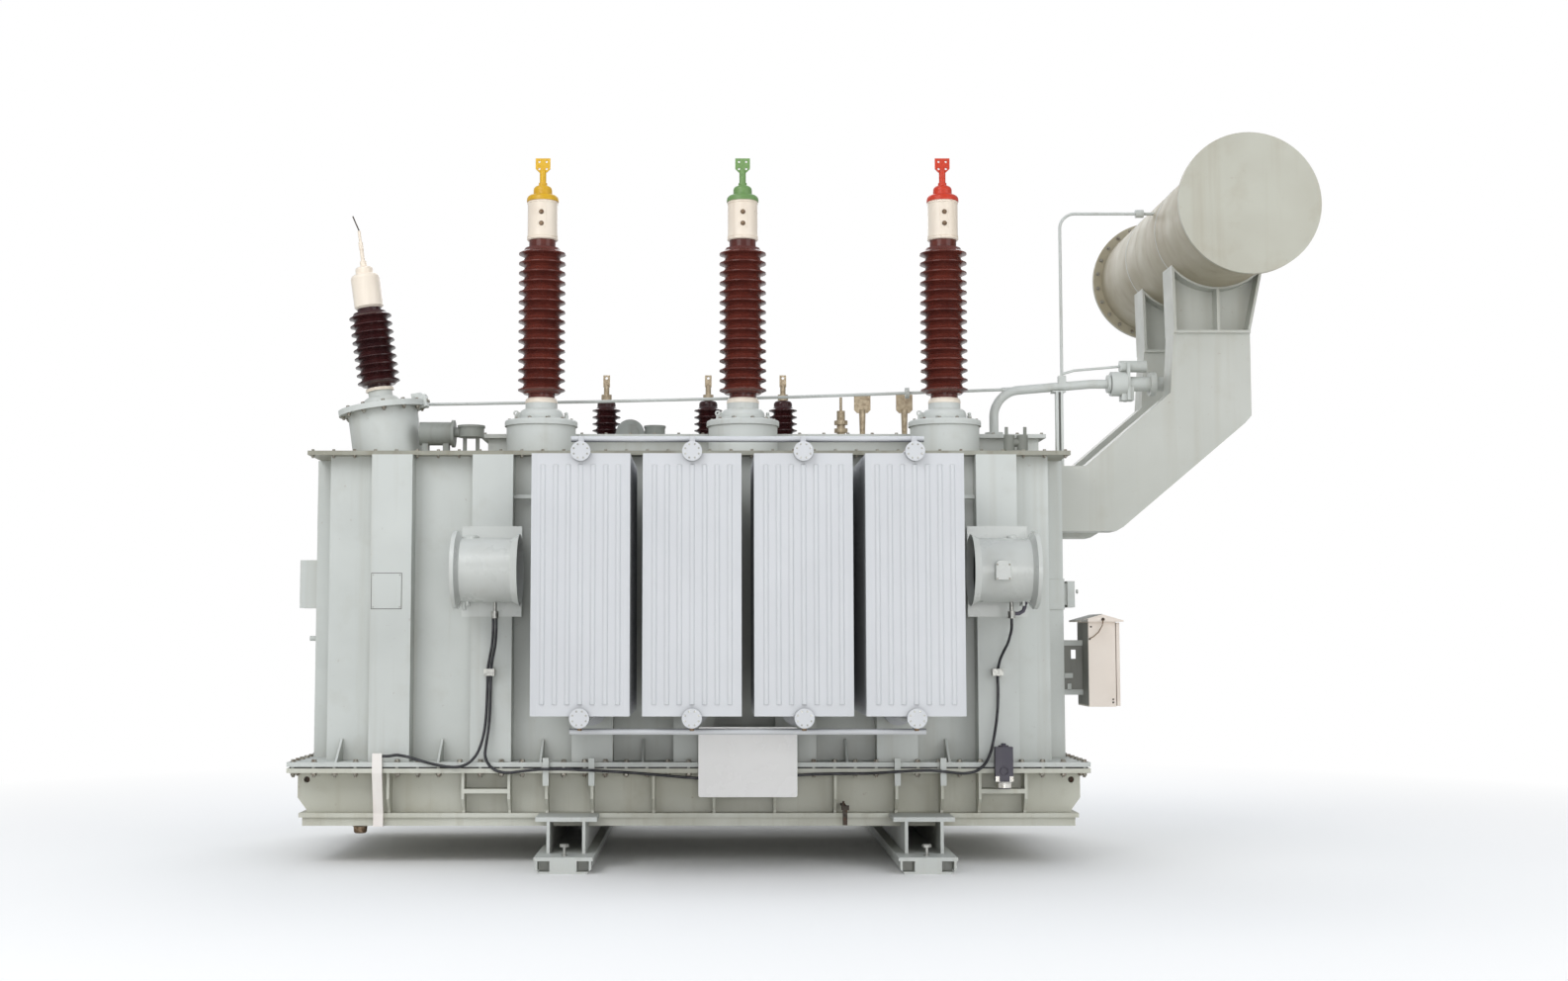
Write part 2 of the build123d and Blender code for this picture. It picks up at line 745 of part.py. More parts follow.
def make_base_tank():
    body = block(2 * BASE_END, 2 * BASE_FRONT, BASE_WALL_HEIGHT, 0, 0, SKIRT_TOP)
    body += block(2 * FLANGE_END, 2 * FLANGE_FRONT, FLANGE_THICK, 0, 0, LOWER_FLANGE_BOTTOM)
    skirt_end = BASE_END + SKIRT_OVERHANG
    skirt_front = BASE_FRONT + SKIRT_OVERHANG
    body += block(2 * skirt_end, 2 * skirt_front, SKIRT_THICK, 0, 0, SKIRT_BOTTOM)
    band_end = skirt_end - BAND_INSET
    band_front = skirt_front - BAND_INSET
    body += block(2 * band_end, 2 * band_front, BAND_HEIGHT, 0, 0, BASE_BOTTOM)
    offsets = [-LEFT_GUSSET, -INNER_GUSSET, INNER_GUSSET, -OUTER_GUSSET, OUTER_GUSSET]
    for side in (-1, 1):
        for step in (-1, 1):
            offsets.append(side * RUNNER_HALF_PITCH + step * RUNNER_GUSSET)
        offsets += [side * SHELF_INNER, side * SHELF_OUTER]
    for offset in offsets:
        for shape in sides(plate_yz(gusset_profile(), GUSSET_THICK, ACTIVE_OFFSET + offset)):
            body += shape
    for side in (-1, 1):
        x = ACTIVE_OFFSET + side * (SHELF_INNER + SHELF_OUTER) / 2
        shelf = block(SHELF_OUTER - SHELF_INNER, 2 * (BASE_FRONT + GUSSET_DEPTH), SHELF_THICK, x, 0,
                      SKIRT_TOP + SHELF_RISE)
        body += shelf
    return body + make_corner_lugs()


def make_corner_lugs():
    """Lifting plates that carry the long walls on past each corner of the lower half."""
    profile = [(BASE_END - BASE_FRONT - y, z) for y, z in gusset_profile()]
    lug = plate_xz(profile, LUG_THICK, -BASE_FRONT + LUG_THICK / 2)
    hole_x = BASE_END + GUSSET_DEPTH - LUG_HOLE_INSET
    hole_z = LOWER_FLANGE_BOTTOM - LUG_HOLE_DROP
    lug -= rod_y(LUG_HOLE_R, LUG_THICK + 2 * CUT, hole_x, -BASE_FRONT - CUT, hole_z)
    front = lug + mirror(lug, about=Plane.YZ)
    return front + mirror(front, about=Plane.XZ)


def make_flange_gasket():
    length = 2 * (FLANGE_END - GASKET_INSET)
    depth = 2 * (FLANGE_FRONT - GASKET_INSET)
    return block(length, depth, GASKET_THICK, 0, 0, GASKET_BOTTOM)


def make_flange_clamps():
    """Upright bars that clip the two flanges together beside the skid beams."""
    height = 2 * FLANGE_THICK + GASKET_THICK + CLAMP_RISE + CLAMP_DROP
    bars = []
    for side in (-1, 1):
        for step in (-1, 1):
            x = ACTIVE_OFFSET + side * RUNNER_HALF_PITCH + step * RUNNER_GUSSET
            y = -FLANGE_FRONT - CLAMP_THICK / 2
            bar = block(CLAMP_WIDTH, CLAMP_THICK, height, x, y, LOWER_FLANGE_BOTTOM - CLAMP_DROP)
            bars += sides(bar)
    return Compound(children=bars)


def make_runner(side):
    x = ACTIVE_OFFSET + side * RUNNER_HALF_PITCH
    half = RUNNER_LENGTH / 2
    foot_half = FOOT_WIDTH / 2 - FOOT_INSET
    outline = [
        (x - foot_half, FOOT_HEIGHT),
        (x - foot_half, FOOT_CHAMFER),
        (x - foot_half + FOOT_CHAMFER, 0),
        (x + foot_half - FOOT_CHAMFER, 0),
        (x + foot_half, FOOT_CHAMFER),
        (x + foot_half, FOOT_HEIGHT),
    ]
    runner = plate_xz(outline, RUNNER_LENGTH, 0)
    window = (2 * foot_half - FOOT_CENTRE_WIDTH) / 2 - FOOT_WALL
    for step in (-1, 1):
        for end in (-1, 1):
            wx = x + step * (FOOT_CENTRE_WIDTH + window) / 2
            wy = end * (half - (FOOT_WINDOW_DEPTH - CUT) / 2)
            runner -= block(window, FOOT_WINDOW_DEPTH + CUT, FOOT_HEIGHT - FOOT_WALL, wx, wy, FOOT_WALL)
    runner += block(FOOT_WIDTH, RUNNER_LENGTH, FOOT_PLATE_THICK, x, 0, FOOT_HEIGHT)
    web_length = RUNNER_LENGTH - 2 * RUNNER_WEB_SETBACK
    skirt_front = BASE_FRONT + SKIRT_OVERHANG
    nose = web_length / 2 - skirt_front
    for step in (-1, 1):
        wx = x + step * RUNNER_WEB_PITCH / 2
        runner += block(RUNNER_WEB_THICK, web_length, RUNNER_WEB_HEIGHT, wx, 0, FOOT_TOP)
        for end in (-1, 1):
            ny = end * (skirt_front + nose / 2)
            height = SKIRT_BOTTOM - FOOT_TOP
            runner += block(RUNNER_WEB_THICK, nose, height, wx, ny, FOOT_TOP)
    for end in (-1, 1):
        ny = end * (skirt_front + nose / 2)
        runner += block(RUNNER_TOP_WIDTH, nose, SKIRT_THICK, x, ny, SKIRT_BOTTOM)
    return runner


def panel_plate(y):
    """One radiator panel: a thin plate with its long edges pinched."""
    half = PANEL_WIDTH / 2
    middle = PANEL_THICK / 2
    edge = PANEL_EDGE / 2
    outline = [
        (-half, -edge),
        (-half + FLUTE_WIDTH, -middle),
        (half - FLUTE_WIDTH, -middle),
        (half, -edge),
        (half, edge),
        (half - FLUTE_WIDTH, middle),
        (-half + FLUTE_WIDTH, middle),
        (-half, edge),
    ]
    face = make_face(Polyline(*outline, close=True))
    return Pos(0, y, radiator_bottom()) * extrude(face, amount=PANEL_HEIGHT)


def radiator_top():
    """Height of the upper header's axis."""
    return WALL_TOP - HEADER_DROP


def radiator_bottom():
    """Height of the panels' lower edge, which lies between the two headers."""
    return radiator_top() - (HEADER_SPACING + PANEL_HEIGHT) / 2


def front_flutes(y):
    """Pressed channels on the face of the outermost panel."""
    channels = []
    first = -FLUTE_PITCH * (FLUTES - 1) / 2
    height = PANEL_HEIGHT - 2 * FLUTE_END
    outline = [
        (-FLUTE_WIDTH / 2, 0),
        (-FLUTE_WIDTH / 4, -FLUTE_RISE),
        (FLUTE_WIDTH / 4, -FLUTE_RISE),
        (FLUTE_WIDTH / 2, 0),
    ]
    face = make_face(Polyline(*outline, close=True))
    for index in range(FLUTES):
        x = first + index * FLUTE_PITCH
        z = radiator_bottom() + FLUTE_END
        channels.append(Pos(x, y - PANEL_THICK / 2, z) * extrude(face, amount=height))
    return channels


def make_radiator():
    """One front radiator, at x = 0, with its panels joined by the two headers."""
    pack_back = -STIFFENER_FRONT - RADIATOR_GAP
    pack_front = pack_back - PANEL_PITCH * (PANELS - 1)
    body = Part()
    for index in range(PANELS):
        body += panel_plate(pack_back - index * PANEL_PITCH)
    for channel in front_flutes(pack_front):
        body += channel
    nose = pack_front - HEADER_NOSE - FLUTE_RISE
    length = -STIFFENER_FRONT - nose
    for z in (radiator_top(), radiator_top() - HEADER_SPACING):
        body += rod_y(HEADER_R, length, 0, nose, z)
        body += rod_y(DISC_R, DISC_THICK, 0, nose - DISC_THICK, z)
        for step in (0, 1):
            y = -STIFFENER_FRONT - (step + 1) * VALVE_THICK - step * VALVE_THICK
            body += rod_y(VALVE_R, VALVE_THICK, 0, y, z)
    return body


def radiator_positions():
    """Middle of each radiator along the tank, in front of four of the stiffeners."""
    return bay_positions()[RADIATOR_FIRST_BAY:RADIATOR_FIRST_BAY + RADIATOR_COLUMNS]


def make_radiator_ties():
    """Bars that tie the radiators of each bank together above and below."""
    columns = radiator_positions()
    start = columns[0] - TIE_OVERHANG
    length = columns[-1] - columns[0] + 2 * TIE_OVERHANG
    pack_back = -STIFFENER_FRONT - RADIATOR_GAP
    y = pack_back - PANEL_PITCH * (PANELS - 1) + TIE_SETBACK
    bars = []
    for z in (radiator_top() + TIE_RISE, radiator_top() - HEADER_SPACING - TIE_RISE):
        bar = rod_x(TIE_R, length, start, y, z)
        inner = HEADER_R if z > radiator_top() else -HEADER_R
        header_z = radiator_top() if z > radiator_top() else radiator_top() - HEADER_SPACING
        low = min(header_z + inner, z)
        for x in columns:
            bar += block(TIE_LUG, FLUTE_RISE, abs(z - header_z - inner), x, y, low)
        bars += sides(bar)
    return Compound(children=bars)


def duct_profile():
    """Half outline of a fan duct along its axis: intake bell, barrel and outlet mouth."""
    inner = DUCT_R - DUCT_WALL
    half = DUCT_LENGTH / 2
    return [
        (inner, half),
        (MOUTH_R - DUCT_WALL, half + MOUTH_LENGTH),
        (MOUTH_R, half + MOUTH_LENGTH),
        (DUCT_R, half),
        (DUCT_R, -half),
        (INTAKE_R, -half - INTAKE_LENGTH / 2),
        (INTAKE_R, -half - INTAKE_LENGTH),
        (INTAKE_R - DUCT_WALL, -half - INTAKE_LENGTH),
        (inner, -half - INTAKE_LENGTH / 4),
    ]


def fan_place():
    """Moves a fan from its own axis, along Z, to its place on the front right."""
    return Pos(FAN_X, FAN_AXIS_Y, FAN_AXIS_HEIGHT) * Rot(0, -90, 0)


def make_fan_duct():
    """Flared barrel round the blades, at the front right."""
    return fan_place() * turned(duct_profile())


def motor_start():
    """Back of the motor along the fan's own axis."""
    return MOTOR_SETBACK - DUCT_LENGTH / 2


def make_fan_motor():
    """Motor on four struts, with the shaft that carries the rotor, at the front right."""
    middle = motor_start() + MOTOR_LENGTH / 2
    motor = Pos(0, 0, middle) * Cylinder(MOTOR_R, MOTOR_LENGTH)
    span = DUCT_R - MOTOR_R / 2
    for index in range(STRUTS):
        strut = Box(span, STRUT_THICK, STRUT_LENGTH)
        place = Rot(0, 0, (index + 1 / 2) * 360 / STRUTS) * Pos(MOTOR_R / 2 + span / 2, 0, 0)
        motor += Pos(0, 0, middle) * place * strut
    reach = DUCT_R - DUCT_WALL - FIT_GAP
    motor = motor & (Pos(0, 0, middle) * Cylinder(reach, 2 * MOTOR_LENGTH))
    motor += Pos(0, 0, motor_start() + MOTOR_LENGTH + SHAFT_LENGTH / 2) * Cylinder(SHAFT_R, SHAFT_LENGTH)
    return fan_place() * motor


def make_fan_bracket():
    """Plate on a stiffener and the two webs that hold the duct, at the front right."""
    plate_x = bay_positions()[-1]
    plate_y = -STIFFENER_FRONT - FAN_PLATE_THICK / 2
    plate_z = FAN_AXIS_HEIGHT - FAN_PLATE_HEIGHT / 2
    bracket = block(FAN_PLATE_WIDTH, FAN_PLATE_THICK, FAN_PLATE_HEIGHT, plate_x, plate_y, plate_z)
    outer = DUCT_R + FIT_GAP
    reach = plate_y - FAN_AXIS_Y - math.sqrt(outer ** 2 - (FAN_WEB_HEIGHT / 2) ** 2) + FAN_WEB_THICK
    web_z = FAN_AXIS_HEIGHT - FAN_WEB_HEIGHT / 2
    bore = rod_x(outer, FAN_WEB_SPAN + 4 * FAN_WEB_THICK, FAN_X - FAN_WEB_SPAN / 2 - 2 * FAN_WEB_THICK,
                 FAN_AXIS_Y, FAN_AXIS_HEIGHT)
    for step in (-1, 1):
        x = FAN_X + step * FAN_WEB_SPAN / 2
        web = block(FAN_WEB_THICK, reach, FAN_WEB_HEIGHT, x, plate_y - reach / 2, web_z)
        bracket += web - bore
    return bracket


def make_fan_rotor():
    """Hub and twisted blades on the motor's shaft, at the front right."""
    hub_start = motor_start() + MOTOR_LENGTH + HUB_GAP
    tip = DUCT_R - DUCT_WALL - BLADE_TIP_CLEARANCE
    rotor = Pos(0, 0, hub_start + HUB_LENGTH / 2) * Cylinder(HUB_R, HUB_LENGTH)
    root = HUB_R / 2
    middle = Pos(0, 0, hub_start + HUB_LENGTH / 2)
    root_face = Plane((root, 0, 0), x_dir=(0, 1, 0), z_dir=(1, 0, 0)) * Rot(0, 0, BLADE_ROOT_ANGLE)
    tip_face = Plane((tip, 0, 0), x_dir=(0, 1, 0), z_dir=(1, 0, 0)) * Rot(0, 0, BLADE_TIP_ANGLE)
    blade = loft([root_face * Rectangle(BLADE_ROOT_CHORD, BLADE_THICK),
                  tip_face * Rectangle(BLADE_TIP_CHORD, BLADE_THICK)])
    for index in range(BLADES):
        rotor += middle * Rot(0, 0, index * 360 / BLADES) * blade
    sweep_room = Cylinder(tip, 2 * BLADE_TIP_CHORD)
    rotor = rotor & (middle * sweep_room)
    bore_depth = SHAFT_LENGTH - HUB_GAP + SHAFT_CLEARANCE
    bore = Cylinder(SHAFT_R + SHAFT_CLEARANCE, bore_depth + CUT)
    rotor -= Pos(0, 0, hub_start + (bore_depth - CUT) / 2) * bore
    return fan_place() * rotor


def left_fan(shape):
    """The shape of the right-hand fan, reflected to the stiffener that carries the left-hand one."""
    bays = bay_positions()
    middle = (bays[FAN_LEFT_BAY] + bays[-1]) / 2
    return mirror(shape, about=Plane(origin=(middle, 0, 0), z_dir=(1, 0, 0)))


def four_fans(shape):
    """The shape of the front right-hand fan at each of the four fans."""
    return sides(shape) + sides(left_fan(shape))


def phase_positions():
    return [ACTIVE_OFFSET + phase * PHASE_PITCH for phase in (-1, 0, 1)]


def at_phases(shape):
    """A tall bushing's piece, made about the Z axis, at each of the three phases."""
    return Compound(children=[Pos(x, -PHASE_DEPTH, 0) * shape for x in phase_positions()])


def make_hv_turrets():
    flange = LID_TOP + TURRET_HEIGHT
    top = flange + TURRET_FLANGE_THICK
    skirt = top + TURRET_SKIRT_HEIGHT
    dome = top + TURRET_DOME_HEIGHT
    profile = [(0, LID_TOP), (TURRET_R, LID_TOP), (TURRET_R, flange)]
    profile += rounded_top(TURRET_FLANGE_R, flange, top, TURRET_RIM)
    profile.append((TURRET_SKIRT_R, top))
    profile += rounded_top(TURRET_DOME_R, skirt, dome, TURRET_DOME_R - TURRET_COLLAR_R)
    profile += [(TURRET_COLLAR_R, dome + TURRET_COLLAR_HEIGHT), (0, dome + TURRET_COLLAR_HEIGHT)]
    return at_phases(turned(profile))


def hv_porcelain_bottom():
    return LID_TOP + TURRET_HEIGHT + TURRET_FLANGE_THICK + TURRET_DOME_HEIGHT + TURRET_COLLAR_HEIGHT


def hv_porcelain_top():
    return hv_porcelain_bottom() + LOWER_NECK + SHEDS * SHED_PITCH + UPPER_NECK


def shed_stack(core, reach, pitch, count, start):
    """Outline of a stack of sheds, each with hollow flanks and a thin rim."""
    points = []
    for index in range(count):
        for level, out in zip(SHED_LEVEL_SHARES, SHED_REACH_SHARES):
            points.append((core + (reach - core) * out, start + (index + level) * pitch))
    points.append((core, start + count * pitch))
    return points


def make_hv_porcelain():
    low = hv_porcelain_bottom()
    top = hv_porcelain_top()
    start = low + LOWER_NECK
    profile = [(0, low), (PORCELAIN_NECK_R, low), (PORCELAIN_NECK_R, start)]
    profile += shed_stack(PORCELAIN_CORE_R, SHED_R, SHED_PITCH, SHEDS, start)
    profile += [(PORCELAIN_NECK_R, top - UPPER_NECK), (PORCELAIN_NECK_R, top), (0, top)]
    return at_phases(turned(profile))


def make_hv_sleeves():
    """Metal sleeves over the tops of the tall insulators, each with a small bolted plate."""
    low = hv_porcelain_top()
    sleeve = turned([
        (0, low),
        (SLEEVE_R - SLEEVE_CHAMFER, low),
        (SLEEVE_R, low + SLEEVE_CHAMFER),
        (SLEEVE_R, low + SLEEVE_HEIGHT),
        (0, low + SLEEVE_HEIGHT),
    ])
    z = low + (SLEEVE_HEIGHT - SLEEVE_PLATE_HEIGHT) / 2
    y = (SLEEVE_CHAMFER - SLEEVE_R - SLEEVE_PLATE_THICK) / 2
    sleeve += block(SLEEVE_PLATE_WIDTH, SLEEVE_R - SLEEVE_CHAMFER + SLEEVE_PLATE_THICK, SLEEVE_PLATE_HEIGHT,
                    0, y, z)
    return at_phases(sleeve)


def terminal_flag(width, height, thickness, corner, x, y, z):
    """An upright terminal plate with its lower corners cut off, standing on z."""
    return plate_xz([
        (x - width / 2, z + height),
        (x - width / 2, z + corner),
        (x - width / 2 + corner, z),
        (x + width / 2 - corner, z),
        (x + width / 2, z + corner),
        (x + width / 2, z + height),
    ], thickness, y)


def make_hv_cap(x):
    low = hv_porcelain_top() + SLEEVE_HEIGHT
    crown = low + SHOULDER_HEIGHT
    stem = crown + CROWN_HEIGHT
    profile = [(0, low)]
    profile += rounded_top(SHOULDER_R, low, crown, SHOULDER_ROUND)
    profile += rounded_top(CROWN_R, crown, stem, CROWN_ROUND)
    profile += [(NUT_R, stem), (NUT_R, stem + NUT_HEIGHT), (0, stem + NUT_HEIGHT)]
    cap = Pos(x, -PHASE_DEPTH, 0) * turned(profile)
    cap += rod_z(STEM_R, STEM_HEIGHT + FLAG_THICK, x, -PHASE_DEPTH, stem)
    flag_low = stem + STEM_HEIGHT
    cap += terminal_flag(FLAG_WIDTH, FLAG_HEIGHT, FLAG_THICK, FLAG_CORNER, x, -PHASE_DEPTH, flag_low)
    for step_x in (-1, 1):
        for step_z in (-1, 1):
            hx = x + step_x * FLAG_HOLE_PITCH / 2
            hz = flag_low + FLAG_HEIGHT / 2 + step_z * FLAG_HOLE_PITCH / 2
            cap -= rod_y(FLAG_HOLE_R, FLAG_THICK + 2 * CUT, hx, -PHASE_DEPTH - FLAG_THICK / 2 - CUT, hz)
    return cap


def neutral_frame():
    """Foot of the leaning turret, with Z along the bushing."""
    return Pos(NEUTRAL_X, -PHASE_DEPTH, LID_TOP) * Rot(0, -NEUTRAL_LEAN, 0)


def neutral_flange_top():
    """Top of the turret's flange, measured along the bushing."""
    return NEUTRAL_TURRET_HEIGHT + NEUTRAL_FLANGE_THICK


def make_neutral_turret():
    sunk = NEUTRAL_TURRET_R * math.tan(math.radians(NEUTRAL_LEAN)) + CUT
    top = neutral_flange_top()
    turret = neutral_frame() * turned([
        (0, -sunk),
        (NEUTRAL_TURRET_R, -sunk),
        (NEUTRAL_TURRET_R, NEUTRAL_TURRET_HEIGHT),
        (NEUTRAL_FLANGE_R, NEUTRAL_TURRET_HEIGHT),
        (NEUTRAL_FLANGE_R, top),
        *rounded_top(NEUTRAL_COLLAR_R, top, top + NEUTRAL_DOME_HEIGHT,
                     NEUTRAL_COLLAR_R - NEUTRAL_COLLAR_TOP_R),
        (NEUTRAL_COLLAR_TOP_R, top + NEUTRAL_COLLAR_HEIGHT),
        (0, top + NEUTRAL_COLLAR_HEIGHT),
    ])
    width = 4 * NEUTRAL_TURRET_R
    return turret - block(width, width, 4 * sunk, NEUTRAL_X, -PHASE_DEPTH, LID_TOP - 4 * sunk)


def neutral_porcelain_bottom():
    return neutral_flange_top() + NEUTRAL_COLLAR_HEIGHT


def neutral_porcelain_top():
    return neutral_porcelain_bottom() + 2 * NEUTRAL_NECK + NEUTRAL_SHEDS * NEUTRAL_SHED_PITCH


def make_neutral_porcelain():
    low = neutral_porcelain_bottom()
    start = low + NEUTRAL_NECK
    neck = NEUTRAL_COLLAR_TOP_R
    top = neutral_porcelain_top()
    profile = [(0, low), (neck, low), (neck, start)]
    profile += shed_stack(NEUTRAL_CORE_R, NEUTRAL_SHED_R, NEUTRAL_SHED_PITCH, NEUTRAL_SHEDS, start)
    profile += [(neck, top - NEUTRAL_NECK), (neck, top), (0, top)]
    return neutral_frame() * turned(profile)


def make_neutral_cap():
    """Metal head of the leaning bushing, with its nut and the jointed rod on top."""
    low = neutral_porcelain_top()
    crown = low + NEUTRAL_CAP_HEIGHT
    nut = crown + NEUTRAL_CROWN_HEIGHT
    stem = nut + NEUTRAL_NUT_HEIGHT
    top = nut + NEUTRAL_STEM_HEIGHT
    joint = (stem + top) / 2
    profile = [(0, low), (NEUTRAL_CAP_R - NEUTRAL_CAP_CHAMFER, low)]
    profile += rounded_top(NEUTRAL_CAP_R, low + NEUTRAL_CAP_CHAMFER, crown, NEUTRAL_CAP_ROUND)
    profile += rounded_top(NEUTRAL_CROWN_R, crown, nut, NEUTRAL_CROWN_ROUND)
    profile += [
        (NEUTRAL_NUT_R, nut),
        (NEUTRAL_NUT_R, stem),
        (NEUTRAL_STEM_R, stem),
        (NEUTRAL_STEM_R, joint - NEUTRAL_JOINT_LENGTH / 2),
        (NEUTRAL_JOINT_R, joint - NEUTRAL_JOINT_LENGTH / 2),
        (NEUTRAL_JOINT_R, joint + NEUTRAL_JOINT_LENGTH / 2),
        (NEUTRAL_TIP_R, joint + NEUTRAL_JOINT_LENGTH / 2),
        (NEUTRAL_TIP_R, top),
        (0, top),
    ]
    return neutral_frame() * turned(profile)


def low_positions():
    return [LOW_A_X, LOW_B_X, LOW_C_X]


def low_porcelain_top():
    return DECK_TOP + 2 * LOW_NECK + LOW_SHEDS * LOW_SHED_PITCH


def make_lv_porcelain():
    start = DECK_TOP + LOW_NECK
    top = low_porcelain_top()
    profile = [(0, DECK_TOP), (LOW_CORE_R, DECK_TOP)]
    profile += shed_stack(LOW_CORE_R, LOW_SHED_R, LOW_SHED_PITCH, LOW_SHEDS, start)
    profile += rounded_top(LOW_CORE_R, top - LOW_NECK / 2, top, LOW_ROUND)
    profile.append((0, top))
    piece = turned(profile)
    return Compound(children=[Pos(x, LOW_DEPTH, 0) * piece for x in low_positions()])


def make_low_terminal(x):
    """Metal top of a short insulator: a round foot, a stem and a drilled plate."""
    low = low_porcelain_top()
    shape = rod_z(LOW_TOP_R, LOW_TOP_HEIGHT, x, LOW_DEPTH, low)
    shape += rod_z(LOW_STEM_R, LOW_STEM_HEIGHT + LOW_FLAG_THICK, x, LOW_DEPTH, low + LOW_TOP_HEIGHT)
    flag_low = low + LOW_TOP_HEIGHT + LOW_STEM_HEIGHT
    shape += block(LOW_FLAG_WIDTH, LOW_FLAG_THICK, LOW_FLAG_HEIGHT, x, LOW_DEPTH, flag_low)
    hole_z = flag_low + LOW_FLAG_HEIGHT * LOW_HOLE_SHARE
    bore = rod_y(LOW_FLAG_HOLE_R, LOW_FLAG_THICK + 2 * CUT, x, LOW_DEPTH - LOW_FLAG_THICK / 2 - CUT, hole_z)
    return shape - bore


def make_strap_terminal(x):
    """Broad plate on a stem that stands on the raised frame."""
    stem_low = DECK_TOP + STRAP_FOOT_HEIGHT
    stem_top = stem_low + STRAP_STEM_HEIGHT + STRAP_CORNER
    profile = [(0, DECK_TOP)]
    profile += rounded_top(STRAP_FOOT_R, DECK_TOP, stem_low, STRAP_FOOT_ROUND)
    profile += [(STRAP_WAIST_R, stem_low), (STRAP_STEM_R, stem_top), (0, stem_top)]
    shape = Pos(x, LOW_DEPTH, 0) * turned(profile)
    shape += terminal_flag(STRAP_WIDTH, STRAP_HEIGHT, STRAP_THICK, STRAP_CORNER, x, LOW_DEPTH,
                           stem_low + STRAP_STEM_HEIGHT)
    return shape


def make_pin_terminal():
    """Small stepped bushing with a bare pin on top."""
    levels = [DECK_TOP + PIN_HEIGHT * share for share in PIN_LEVEL_SHARES]
    radii = [PIN_BASE_R, PIN_NECK_R, PIN_BASE_R, PIN_NECK_R, PIN_BASE_R, PIN_NECK_R, PIN_ROD_R]
    profile = [(0, DECK_TOP)]
    low = DECK_TOP
    for radius, level in zip(radii, levels):
        profile += [(radius, low), (radius, level)]
        low = level
    profile.append((0, low))
    return Pos(PIN_X, LOW_DEPTH, 0) * turned(profile)


def make_lv_terminals():
    shapes = [make_low_terminal(x) for x in low_positions()]
    shapes += [make_strap_terminal(x) for x in (STRAP_LEFT_X, STRAP_RIGHT_X)]
    return Compound(children=shapes + [make_pin_terminal()])


def make_conservator_shell():
    half = CONSERVATOR_LENGTH / 2 - CONSERVATOR_FLANGE_THICK
    shell = rod_y(CONSERVATOR_R, 2 * half, CONSERVATOR_X, -half, CONSERVATOR_Z)
    for end in (-1, 1):
        y = -half if end < 0 else half - CONSERVATOR_FLANGE_THICK
        shell += rod_y(CONSERVATOR_FLANGE_R, CONSERVATOR_FLANGE_THICK, CONSERVATOR_X, y, CONSERVATOR_Z)
    inner = CONSERVATOR_R - CONSERVATOR_WALL
    bore = rod_y(inner, 2 * half + 2 * CUT, CONSERVATOR_X, -half - CUT, CONSERVATOR_Z)
    return shell - bore


def make_conservator_end(end):
    half = CONSERVATOR_LENGTH / 2 - CONSERVATOR_FLANGE_THICK
    y = -half - CONSERVATOR_FLANGE_THICK if end < 0 else half
    return rod_y(CONSERVATOR_FLANGE_R, CONSERVATOR_FLANGE_THICK, CONSERVATOR_X, y, CONSERVATOR_Z)


def make_conservator_arm(step):
    """Cranked box arm from an end stiffener up to the cradle above it."""
    root = STIFFENER_END
    outer_knee = ARM_TOP - ARM_OUTER_KNEE_DROP
    return plate_xz([
        (root, ARM_ROOT_LOW),
        (root + ARM_LOWER_RUN - ARM_TOE_RUN, ARM_ROOT_LOW),
        (root + ARM_LOWER_RUN, ARM_ROOT_LOW + ARM_TOE_RISE),
        (ARM_TOP_RIGHT - ARM_TOE_RUN, outer_knee - 2 * ARM_TOE_RISE),
        (ARM_TOP_RIGHT, outer_knee),
        (ARM_TOP_RIGHT, ARM_TOP),
        (ARM_TOP_LEFT, ARM_TOP),
        (ARM_TOP_LEFT - ARM_TOE_RISE, ARM_TOP - ARM_BACK_KNEE_DROP),
        (root + ARM_LEDGE, ARM_ROOT_HIGH),
        (root, ARM_ROOT_HIGH),
    ], ARM_WIDTH, step * ARM_PITCH / 2)


def make_conservator_cradle(step):
    """Base plate, web, slanted sides and middle rib under a saddle that follows the drum."""
    y = step * ARM_PITCH / 2
    low = ARM_TOP + CRADLE_BASE_THICK
    high = CONSERVATOR_Z - math.sqrt(CONSERVATOR_R ** 2 - CRADLE_HALF_SPAN ** 2)
    left = CONSERVATOR_X - CRADLE_HALF_SPAN
    right = CONSERVATOR_X + CRADLE_HALF_SPAN
    cradle = block(ARM_TOP_RIGHT - ARM_TOP_LEFT, CRADLE_LENGTH, CRADLE_BASE_THICK,
                   (ARM_TOP_LEFT + ARM_TOP_RIGHT) / 2, y, ARM_TOP)
    web = [(ARM_TOP_LEFT, low), (ARM_TOP_RIGHT, low), (right, high), (left, high)]
    cradle += plate_xz(web, CRADLE_PLATE, y)
    slants = ((ARM_TOP_LEFT, left, CRADLE_PLATE), (ARM_TOP_RIGHT, right, -CRADLE_PLATE))
    for foot, head, thickness in slants:
        side = [(foot, low), (foot + thickness, low), (head + thickness, high), (head, high)]
        cradle += plate_xz(side, CRADLE_LENGTH, y)
    cradle += block(CRADLE_PLATE, CRADLE_LENGTH, high - low, CONSERVATOR_X, y, low)
    start = y - CRADLE_LENGTH / 2
    seat = CONSERVATOR_R + FIT_GAP
    saddle = rod_y(seat + CRADLE_SADDLE, CRADLE_LENGTH, CONSERVATOR_X, start, CONSERVATOR_Z)
    cradle += saddle & block(2 * CRADLE_HALF_SPAN, CRADLE_LENGTH, high - low, CONSERVATOR_X, y, low)
    room = rod_y(seat, CRADLE_LENGTH + 2 * CUT, CONSERVATOR_X, start - CUT, CONSERVATOR_Z)
    return cradle - room


